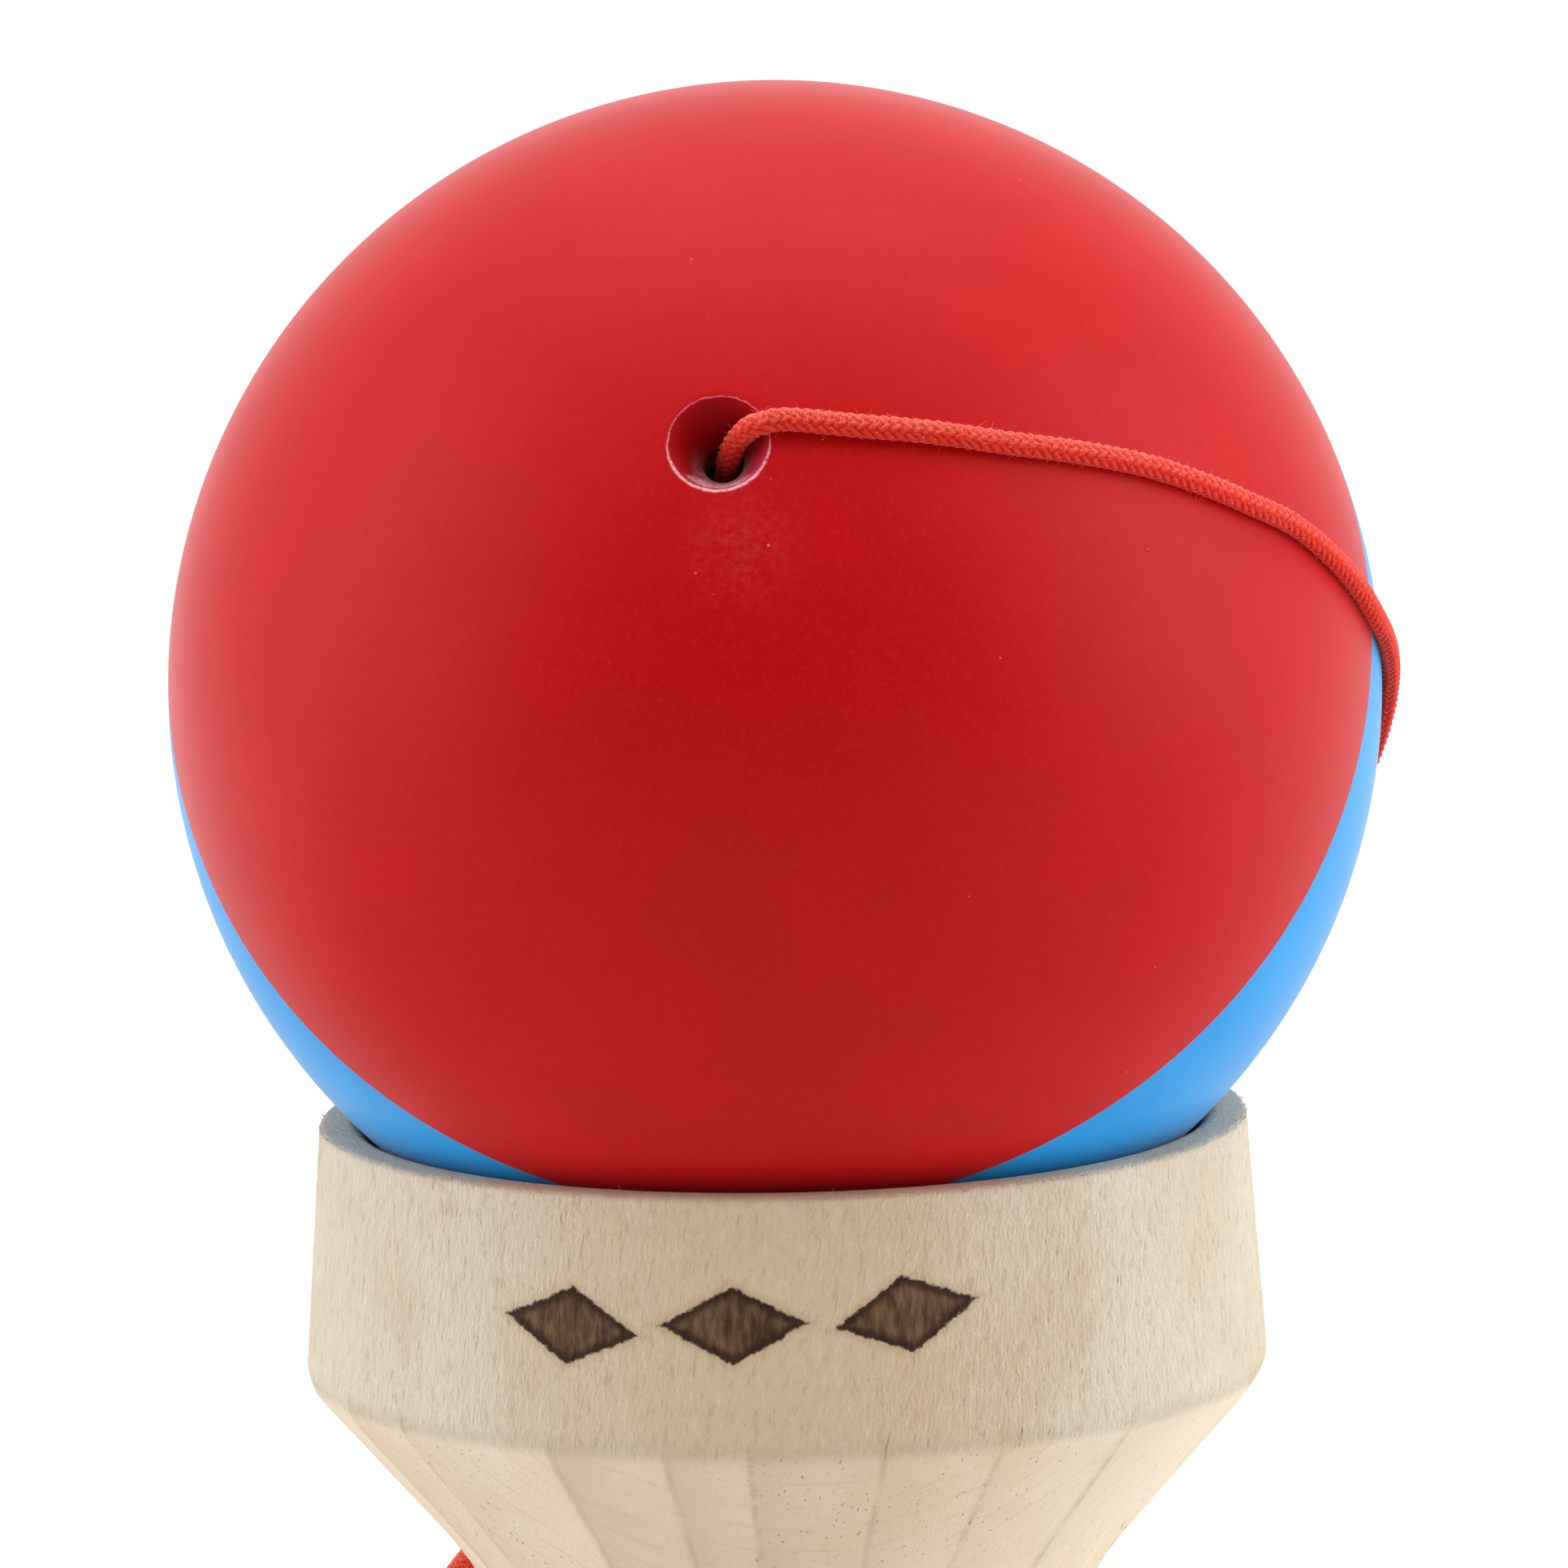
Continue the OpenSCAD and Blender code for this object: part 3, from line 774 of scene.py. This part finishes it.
def make_ball_wood():
    back = bevel_meets(CORE_R)
    outline = ([(STRING_HOLE_R, POCKET_END), (STRING_HOLE_R, SINK_LOW)]
               + sphere_arc(CORE_R, math.sqrt(CORE_R ** 2 - CORE_SINK_R ** 2), MOUTH_Z - back, 120)
               + [(SPIKE_HOLE_R, MOUTH_Z), (SPIKE_HOLE_R, SPIKE_HOLE_END - 0.4),
                  (SPIKE_HOLE_R - 0.4, SPIKE_HOLE_END), (POCKET_R, SPIKE_HOLE_END),
                  (POCKET_R, POCKET_END)])
    obj = lathe("ball_wood", refine(outline, 1.0), ROUND // 2, closed=True)
    keep_edges(obj)
    settle(obj, ball_matrix())
    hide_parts("ball_core")
    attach(obj, BALL)
    return obj


def make_bead():
    start = math.degrees(math.asin(STRING_HOLE_R / BEAD_R))
    outline = arc((0, BEAD_S), BEAD_R, start, 180 - start, 40)
    obj = lathe("bead", outline, 96, closed=True)
    keep_edges(obj)
    settle(obj, ball_matrix())
    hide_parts("ball_bead")
    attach(obj, STRING_END)
    return obj


crosspiece = make_crosspiece()
handle = make_handle()
red_paint = make_red_paint()
blue_paint = make_blue_paint()
ball_wood = make_ball_wood()
bead = make_bead()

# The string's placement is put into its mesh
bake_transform(string)


# ---------------------------------------------------------------- materials

class Shader:
    """Builds one material's nodes. Places are in mm, in the piece's own frame where it is
    settled, and colours named in a call are sRGB values from 0 to 255."""

    def __init__(self, name, settled=False):
        self.material = bpy.data.materials.new(name)
        self.material.use_nodes = True
        self.tree = self.material.node_tree
        self.bsdf = self.tree.nodes["Principled BSDF"]
        if settled:
            self.place = self.node("Attribute", attribute_name="place").outputs["Vector"]
        else:
            coordinates = self.node("TexCoord").outputs["Object"]
            self.place = self.vector("SCALE", coordinates, scale=1 / MM)

    def node(self, kind, **settings):
        n = self.tree.nodes.new("ShaderNode" + kind)
        for name, value in settings.items():
            setattr(n, name, value)
        return n

    def link(self, value, socket):
        if isinstance(value, bpy.types.NodeSocket):
            self.tree.links.new(value, socket)
        elif value is not None:
            socket.default_value = value

    def link_all(self, values, sockets):
        for value, socket in zip(values, sockets):
            self.link(value, socket)

    def vector(self, operation, *values, scale=None):
        n = self.node("VectorMath", operation=operation)
        self.link_all(values, n.inputs)
        if scale is not None:
            n.inputs["Scale"].default_value = scale
        return n.outputs["Value" if operation == "LENGTH" else "Vector"]

    def math(self, operation, *values):
        n = self.node("Math", operation=operation)
        self.link_all(values, n.inputs)
        return n.outputs[0]

    def chain(self, operation, first, *others):
        """One value from several, by an operation on two."""
        for other in others:
            first = self.math(operation, first, other)
        return first

    def times(self, *values):
        return self.chain("MULTIPLY", *values)

    def split(self, vector):
        n = self.node("SeparateXYZ")
        self.link(vector, n.inputs[0])
        return n.outputs

    def join(self, x, y, z):
        n = self.node("CombineXYZ")
        self.link_all((x, y, z), n.inputs)
        return n.outputs[0]

    def stretched(self, stretch, seed=0.0, place=None):
        """The place times stretch, which is a number or one for each axis, moved by the seed."""
        if isinstance(stretch, float):
            stretch = (stretch, stretch, stretch)
        scaled = self.vector("MULTIPLY", self.place if place is None else place, stretch)
        return self.vector("ADD", scaled, (seed, seed * 1.7, seed * 0.6))

    def noise(self, stretch, seed=0.0, detail=3.0, roughness=0.55, place=None):
        """Noise with so many bumps per mm along each axis."""
        n = self.node("TexNoise")
        self.link(self.stretched(stretch, seed, place), n.inputs["Vector"])
        n.inputs["Scale"].default_value = 1.0
        n.inputs["Detail"].default_value = detail
        n.inputs["Roughness"].default_value = roughness
        return n.outputs["Fac"]

    def ramp(self, value, low, high):
        """0 below low, 1 above high; the two may be given in falling order."""
        n = self.node("MapRange", interpolation_type="SMOOTHSTEP", clamp=True)
        self.link(value, n.inputs["Value"])
        n.inputs["From Min"].default_value = low
        n.inputs["From Max"].default_value = high
        return n.outputs["Result"]

    def mix(self, factor, a, b):
        n = self.node("Mix", data_type="RGBA", blend_type="MIX")
        self.link(factor, n.inputs["Factor"])
        for value, socket in ((a, n.inputs[6]), (b, n.inputs[7])):
            if isinstance(value, tuple):
                value = (*value, 1.0)
            self.link(value, socket)
        return n.outputs[2]

    def tint(self, colour, tone, *strengths):
        """Moves a colour towards an sRGB tone, by the product of the strengths."""
        return self.mix(self.times(*strengths), colour, srgb(*tone))

    def bump(self, height, distance, strength):
        n = self.node("Bump")
        self.link(height, n.inputs["Height"])
        n.inputs["Distance"].default_value = distance * MM
        n.inputs["Strength"].default_value = strength
        return n.outputs["Normal"]

    def attribute(self, name):
        return self.node("Attribute", attribute_name=name).outputs["Fac"]

    def finish(self, colour, roughness, normal=None, **plain):
        self.link(colour, self.bsdf.inputs["Base Color"])
        self.link(roughness, self.bsdf.inputs["Roughness"])
        self.link(normal, self.bsdf.inputs["Normal"])
        for name, value in plain.items():
            self.bsdf.inputs[name.replace("_", " ").title().replace("Ior", "IOR")].default_value = value
        return self.material


def srgb(r, g, b):
    return tuple((c / 255 / 12.92) if c / 255 <= 0.04045 else ((c / 255 + 0.055) / 1.055) ** 2.4
                 for c in (r, g, b))


def dressed(obj, material):
    obj.data.materials.clear()
    obj.data.materials.append(material)


GRAIN_LEAN = -0.12
RING_STEP = 1.1


def leaning_grain(m):
    """The place, sheared so that grain along Z leans a little to one side."""
    x, y, z = m.split(m.place)
    return m.join(m.math("MULTIPLY_ADD", z, GRAIN_LEAN, x), y, z)


def wood_base(m, light, tan, grey, seed, ring_strength=0.2):
    """Bare wood with its grain along the piece's own Z: its colour, fibres and flecks."""
    _, y, z = m.split(m.place)
    drift = m.noise((0.10, 0.10, 0.05), seed)
    colour = m.tint(srgb(*light), tan, m.ramp(drift, 0.43, 0.72))
    # Growth rings are nearly flat sheets across Y, so they arch on the slopes
    warp = m.noise((0.10, 0.10, 0.04), seed + 3, detail=2.0)
    growth = m.math("MULTIPLY_ADD", z, 0.03, m.math("MULTIPLY_ADD", warp, 1.8, y))
    phase = m.math("FRACT", m.math("DIVIDE", growth, RING_STEP))
    ring = m.times(m.ramp(phase, 0.78, 0.95), m.ramp(phase, 1.0, 0.95))
    broken = m.ramp(m.noise((0.4, 0.4, 0.3), seed + 7, detail=2.0), 0.35, 0.65)
    colour = m.tint(colour, grey, ring, broken, ring_strength)
    leaning = leaning_grain(m)
    fibre = m.noise((6.0, 6.0, 1.3), detail=4.0, roughness=0.65, place=leaning)
    colour = m.tint(colour, grey, m.ramp(fibre, 0.50, 0.76), 0.34)
    colour = m.tint(colour, (250, 240, 220), m.ramp(fibre, 0.48, 0.28), 0.45)
    fleck_field = m.noise((5.2, 5.2, 0.6), detail=2.0, roughness=0.4, place=leaning)
    fleck_zone = m.noise((0.11, 0.11, 0.07), seed + 12, detail=1.0)
    fleck = m.times(m.ramp(fleck_field, 0.69, 0.76), m.ramp(fleck_zone, 0.42, 0.6))
    colour = m.tint(colour, (150, 116, 76), fleck, 0.6)
    return colour, fibre, fleck


def axis_distance(m):
    """Each place's distance from the piece's axis."""
    x, y, _ = m.split(m.place)
    return m.vector("LENGTH", m.join(x, y, 0.0))


def around_axis(m):
    """Each place's direction around the piece's axis, from -Y towards +X, in radians."""
    x, y, _ = m.split(m.place)
    return m.math("ARCTAN2", x, m.times(y, -1.0))


def band_lines(m):
    """A thin shade where two sanded bands meet."""
    angle = around_axis(m)
    apart = []
    for edge in CUP_FACETS.edges:
        az = (edge - math.pi / 2) % (2 * math.pi) - math.pi
        apart.append(m.math("ABSOLUTE", m.math("SUBTRACT", angle, az)))
    return m.ramp(m.times(m.chain("MINIMUM", *apart), axis_distance(m)), 0.30, 0.02)


# Each burnt mark: its middle around the cup and its height in mm, and its tilt in degrees
MARKS = ((-10.8, 64.6, -5.0), (-2.6, 64.9, 1.0), (5.9, 65.2, 8.0))
MARK_HALF_W, MARK_HALF_H = 3.6, 1.9
MARK_CUP_R = 23.5


def burnt_marks(m):
    """Plain lozenges burnt into the large cup's side: the burn, its dark edge, its scorch."""
    _, y, z = m.split(m.place)
    around = m.times(around_axis(m), MARK_CUP_R)
    wobble = m.math("MULTIPLY_ADD", m.noise(2.6, 5.0, 4.0, 0.65), 0.3, -0.15)
    lozenges = []
    for middle, height, tilt in MARKS:
        c, s = math.cos(math.radians(tilt)), math.sin(math.radians(tilt))
        u = m.math("SUBTRACT", around, middle)
        v = m.math("SUBTRACT", z, height)
        du = m.math("ABSOLUTE", m.math("MULTIPLY_ADD", u, c, m.times(v, s)))
        dv = m.math("ABSOLUTE", m.math("MULTIPLY_ADD", v, c, m.times(u, -s)))
        across = m.math("DIVIDE", du, MARK_HALF_W)
        lozenges.append(m.math("ADD", across, m.math("DIVIDE", dv, MARK_HALF_H)))
    edge = m.math("ADD", m.chain("MINIMUM", *lozenges), wobble)
    outside = m.ramp(axis_distance(m), 22.0, 22.8)
    front = m.times(m.ramp(y, 0.0, -2.0), outside)
    burn = m.times(m.ramp(edge, 1.03, 0.95), front)
    dark_edge = m.ramp(edge, 0.62, 0.9)
    scorch = m.times(m.ramp(edge, 1.3, 1.0), front, 0.35)
    return burn, dark_edge, scorch


def crosspiece_wood():
    """Slopes sanded in bands, each with painted shade across it and both dulled by painted shade, fuzzy
    sides with painted light and shade on their relief, painted shade down the front, rims with rubbed
    wear and painted shade, and the marks burnt into the front.
    """
    m = Shader("pale_wood", settled=True)
    x, y, z = m.split(m.place)
    from_middle = m.math("ABSOLUTE", m.math("SUBTRACT", z, CROSS_H / 2))
    # The bowl's bottom is at the slope's height, and nearer the axis
    on_slope = m.times(m.ramp(from_middle, 24.0, 22.5), m.ramp(axis_distance(m), 10.0, 11.5))
    on_side = m.ramp(from_middle, 22.4, 23.4)
    colour, fibre, fleck = wood_base(m, (245, 233, 210), (239, 219, 189), (204, 176, 142), 4.0,
                                     m.math("MULTIPLY_ADD", on_slope, 0.28, 0.05))
    patches = m.ramp(m.noise((0.13, 0.13, 0.16), 31.0), 0.50, 0.72)
    colour = m.tint(colour, (206, 164, 126), patches, 0.16)
    # Painted shade: a tan band down the front (-Y) darkens the middle of the front, which gets less
    # light than the sides; fainter on the slope
    painted_front_shade = m.ramp(m.math("ABSOLUTE", m.math("ADD", x, 0.5)), 17.0, 4.0)
    strength = m.math("MULTIPLY_ADD", on_slope, -0.5, 0.75)
    colour = m.tint(colour, (240, 207, 165), painted_front_shade, m.ramp(y, -8.0, -14.0), strength)
    # Painted light and shade on the sides: the colour is paled where the fuzz relief is high and
    # darkened where it is low
    leaning = leaning_grain(m)
    tufts = m.noise((2.2, 2.2, 0.9), detail=2.0, roughness=0.5, place=leaning)
    fuzz = m.noise((5.5, 5.5, 1.8), detail=5.0, roughness=0.72, place=leaning)
    fuzz = m.math("MULTIPLY_ADD", tufts, 0.7, fuzz)
    colour = m.tint(colour, (252, 240, 216), m.ramp(fuzz, 0.88, 1.05), on_side, 0.35)
    colour = m.tint(colour, (206, 172, 130), m.ramp(fuzz, 0.80, 0.62), on_side, 0.40)
    # Each sanded band has its own random tone, painted shade that is darkest at one edge and fades
    # across the band, and a broken line at its edge
    broken = m.ramp(m.noise((0.9, 0.9, 0.25), 17.0, detail=2.0), 0.25, 0.65)
    edge = m.times(band_lines(m), on_slope, broken)
    band = m.times(m.attribute("band"), on_slope, 0.50)
    colour = m.tint(colour, (196, 168, 138), m.math("MULTIPLY_ADD", edge, 0.32, band))
    # Painted shade: both slopes are dulled towards grey-tan
    colour = m.tint(colour, (200, 180, 156), on_slope, 0.16)
    burn, dark_edge, scorch = burnt_marks(m)
    soot = m.ramp(m.noise((2.6, 2.6, 0.7), 2.0), 0.3, 0.7)
    char = m.tint(srgb(78, 50, 30), (136, 102, 72), soot)
    char = m.tint(char, (52, 28, 12), dark_edge, 0.85)
    colour = m.tint(colour, (196, 158, 118), scorch)
    colour = m.mix(burn, colour, char)
    # The two rims' tops are tinted grey-pink: partly rubbed wear, partly painted shade
    worn_and_shaded_rim = m.ramp(m.noise(0.6, 7.0), 0.2, 0.6)
    colour = m.tint(colour, (236, 216, 196), m.ramp(from_middle, 35.1, 35.35), worn_and_shaded_rim, 0.35)
    fuzz_height = m.math("MULTIPLY_ADD", on_side, 1.9, 0.2)
    relief = m.math("MULTIPLY_ADD", fuzz, fuzz_height, m.times(fibre, 0.3))
    relief = m.math("SUBTRACT", relief, m.math("MULTIPLY_ADD", fleck, 0.7, burn))
    return m.finish(colour, 0.85, m.bump(relief, 0.17, 0.9), specular_ior_level=0.12,
                    sheen_weight=0.1, sheen_roughness=0.5)


def handle_wood():
    m = Shader("handle_wood", settled=True)
    colour, fibre, fleck = wood_base(m, (233, 217, 190), (224, 198, 163), (186, 154, 118), 21.0)
    # The grip's sanded bands: a random tone each, with painted shade darkest at one edge
    colour = m.tint(colour, (205, 178, 145), m.attribute("band"), 0.15)
    relief = m.math("SUBTRACT", m.times(fibre, 0.4), m.times(fleck, 0.5))
    return m.finish(colour, 0.72, m.bump(relief, 0.08, 0.7), specular_ior_level=0.3,
                    sheen_weight=0.15, sheen_roughness=0.6)


def drilled_wood(name, seed):
    """Darker bare wood with a drill's marks across Z."""
    m = Shader(name, settled=True)
    colour, fibre, _ = wood_base(m, (226, 206, 176), (204, 176, 138), (160, 124, 88), seed)
    tool_marks = m.noise((0.0, 0.0, 3.2), detail=2.0)
    relief = m.math("ADD", m.times(fibre, 0.4), m.times(tool_marks, 0.3))
    return m.finish(colour, 0.8, m.bump(relief, 0.08, 0.6), specular_ior_level=0.2)


def specks(m, spread, seed, size, rare):
    """Small round specks, one to a cell; spread is the cells per mm, size is a speck's share
    of its cell, and rare is the share of cells that have none."""
    cells = m.node("TexVoronoi", feature="F1")
    m.link(m.stretched(spread, seed), cells.inputs["Vector"])
    cells.inputs["Scale"].default_value = 1.0
    keep = m.ramp(m.split(cells.outputs["Color"])[0], rare, rare + 0.02)
    return m.times(m.ramp(cells.outputs["Distance"], size, size * 0.5), keep)


def hole_wear_and_painted_light(m, colour):
    """Bare, pale paint edges round the countersink, painted shade inside it, rubbed paint round the
    bore with painted light on the lower wall that faces up, and the dust that fell below. The ball's
    own +Z leaves by the hole and its +Y is upwards."""
    x, y, z = m.split(m.place)
    r = axis_distance(m)
    on_top = m.ramp(z, 26.0, 26.6)
    low = m.ramp(y, 0.9, -1.7)
    ragged = m.noise(2.6, 11.0, 4.0, 0.7)
    fine = m.noise(6.0, 15.0, 3.0, 0.65)
    inside = m.times(m.ramp(r, SINK_R, SINK_R - 0.08), on_top)
    # Painted shade: the whole countersink is darkened towards deep red
    colour = m.tint(colour, (120, 0, 8), inside, 0.45)
    colour = m.tint(colour, (205, 50, 96), inside, m.ramp(x, 0.3, 1.6), low, 0.5)
    # Rubbed, pale paint round the bore, reaching farther on the lower side, where it is also painted
    # light on the wall that faces up
    spread = m.math("MULTIPLY_ADD", m.ramp(y, -0.9, -1.6), -0.7, r)
    near_bore = m.ramp(m.math("MULTIPLY_ADD", ragged, 0.9, spread), 2.1, 1.55)
    colour = m.tint(colour, (230, 190, 196), near_bore, inside, low, m.ramp(fine, 0.25, 0.6), 0.8)
    # The bare edge is wider and paler at the bottom
    reach = m.math("MULTIPLY_ADD", ragged, 0.22, SINK_R - 0.12)
    offset = m.math("ABSOLUTE", m.math("SUBTRACT", r, reach))
    width = m.math("MULTIPLY_ADD", low, 0.07, 0.05)
    edge = m.ramp(m.math("DIVIDE", offset, width), 1.0, 0.3)
    paleness = m.math("MULTIPLY_ADD", low, 0.50, 0.35)
    colour = m.tint(colour, (240, 176, 182), edge, on_top, paleness, m.ramp(fine, 0.28, 0.52))
    # Dust lies from just below the hole to several millimetres below it
    drift = m.vector("LENGTH", m.join(m.math("SUBTRACT", x, 1.2), m.math("ADD", y, 5.0), 0.0))
    dust = m.times(m.ramp(drift, 4.2, 0.5), m.ramp(z, 20.0, 24.0))
    colour = m.tint(colour, (226, 110, 130), dust, m.ramp(ragged, 0.35, 0.75), 0.12)
    return m.tint(colour, (236, 150, 150), specks(m, 1.1, 27.0, 0.11, 0.55), dust, 0.8)


# Sparse and denser lint on the paint: the spread, seed, size and rareness of its specks
LINT = ((0.17, 6.0, 0.016, 0.80), (0.6, 19.0, 0.035, 0.80))


def paint(name, base, deep, with_hole=False):
    """Soft satin paint: a fine grain, faint mottling, a little lint, and wear, painted shade and
    painted light at the hole.
    """
    m = Shader(name, settled=True)
    colour = m.tint(srgb(*base), deep, m.ramp(m.noise(0.16, 3.0), 0.3, 0.7))
    grain = m.noise(4.0, 8.0, 4.0, 0.7)
    colour = m.tint(colour, (255, 200, 200), m.ramp(grain, 0.45, 0.8), 0.015)
    lint = m.chain("MAXIMUM", *[specks(m, *kind) for kind in LINT])
    colour = m.tint(colour, (236, 170, 160), lint, 0.45)
    if with_hole:
        colour = hole_wear_and_painted_light(m, colour)
    relief = m.math("ADD", m.times(grain, 0.3), lint)
    return m.finish(colour, 0.45, m.bump(relief, 0.01, 0.5), specular_ior_level=0.12,
                    sheen_weight=0.20, sheen_roughness=0.3)


def cord_material():
    """Red strands with painted shade in the valleys between them, under pale loose fibres and hairs,
    and a painted highlight on the side that faces up.
    """
    m = Shader("red_cord")
    height = m.attribute("height")
    fibre = m.noise(9.0, 1.0, 4.0, 0.7)
    # Painted shade: the low places between the strands are darker red than the crowns
    colour = m.tint(srgb(186, 14, 8), (228, 48, 28), m.ramp(height, 0.1, 0.8))
    colour = m.tint(colour, (242, 112, 86), m.ramp(fibre, 0.48, 0.75), 0.25)
    # Painted highlight: the side that faces up is tinted pale salmon where the fibre noise is high, for
    # light caught by loose fibres
    painted_top_highlight = m.ramp(m.split(m.node("NewGeometry").outputs["Normal"])[2], -0.1, 0.85)
    colour = m.tint(colour, (250, 150, 124), painted_top_highlight, m.ramp(fibre, 0.40, 0.60), 0.5)
    # Only the hairs have a height above 1
    colour = m.tint(colour, (246, 128, 108), m.ramp(height, 1.2, 1.5))
    return m.finish(colour, 0.85, m.bump(fibre, 0.03, 0.6), specular_ior_level=0.15,
                    sheen_weight=0.4, sheen_roughness=0.45, sheen_tint=(1.0, 0.6, 0.5, 1.0))


dressed(crosspiece, crosspiece_wood())
dressed(handle, handle_wood())
dressed(ball_wood, drilled_wood("ball_wood", 33.0))
dressed(bead, drilled_wood("bead_wood", 47.0))
dressed(red_paint, paint("red_paint", (189, 5, 9), (183, 4, 8), with_hole=True))
dressed(blue_paint, paint("blue_paint", (30, 150, 222), (24, 144, 217)))
cord_red = cord_material()
dressed(string, cord_red)
for cord_node in ("string_in_ball", "string_in_crosspiece", "ball_knot", "handle_knot"):
    node = frame["nodes"][cord_node]
    for slot_index in range(len(node.material_slots)):
        node.material_slots[slot_index].material = cord_red


# ---------------------------------------------------------------- floor and light

def make_floor():
    """A pale floor that grows brighter behind the object, like a lit white sweep."""
    radius, segments = 8.0, 96
    verts = [(radius * math.cos(2 * math.pi * k / segments),
              radius * math.sin(2 * math.pi * k / segments), 0.0) for k in range(segments)]
    floor = new_mesh("floor", verts, [tuple(range(segments))])
    m = Shader("floor")
    x, y, _ = m.split(m.place)
    far = m.vector("LENGTH", m.join(x, y, 0.0))
    glow = m.times(m.ramp(far, 120.0, 420.0), m.ramp(y, -40.0, 140.0), 0.75)
    m.link(glow, m.bsdf.inputs["Emission Strength"])
    dressed(floor, m.finish((0.72, 0.72, 0.72, 1.0), 0.9, specular_ior_level=0.1,
                            emission_color=(1, 1, 1, 1)))


FRONT_LIGHT, BACK_LIGHT = 0.04, 0.96


def make_world():
    """White all round, with less light from the camera's side."""
    world = bpy.data.worlds.new("studio")
    bpy.context.scene.world = world
    world.use_nodes = True
    tree = world.node_tree
    background = tree.nodes["Background"]
    coordinates = tree.nodes.new("ShaderNodeTexCoord")
    parts = tree.nodes.new("ShaderNodeSeparateXYZ")
    side = tree.nodes.new("ShaderNodeMapRange")
    side.inputs["From Min"].default_value = -0.9
    side.inputs["From Max"].default_value = 0.15
    side.inputs["To Min"].default_value = FRONT_LIGHT
    side.inputs["To Max"].default_value = BACK_LIGHT
    tree.links.new(coordinates.outputs["Generated"], parts.inputs[0])
    tree.links.new(parts.outputs["Y"], side.inputs["Value"])
    tree.links.new(side.outputs["Result"], background.inputs["Strength"])
    background.inputs["Color"].default_value = (1, 1, 1, 1)


def softbox(name, place, size, power):
    data = bpy.data.lights.new(name, "AREA")
    data.shape = "RECTANGLE"
    data.size, data.size_y = size
    data.energy = power
    light = add(bpy.data.objects.new(name, data))
    light.location = place
    light.rotation_euler = (Vector(place) - Vector((0, 0, 0.07))).to_track_quat("Z", "Y").to_euler()


make_floor()
make_world()
softbox("left_box", (-0.55, -0.10, 0.32), (0.5, 0.6), 2.3)
softbox("right_box", (0.55, -0.10, 0.32), (0.5, 0.6), 2.8)
softbox("top_box", (0.0, 0.04, 0.65), (0.6, 0.5), 1.9)

scene = bpy.context.scene
scene.view_settings.view_transform = "Standard"
scene.view_settings.look = "None"
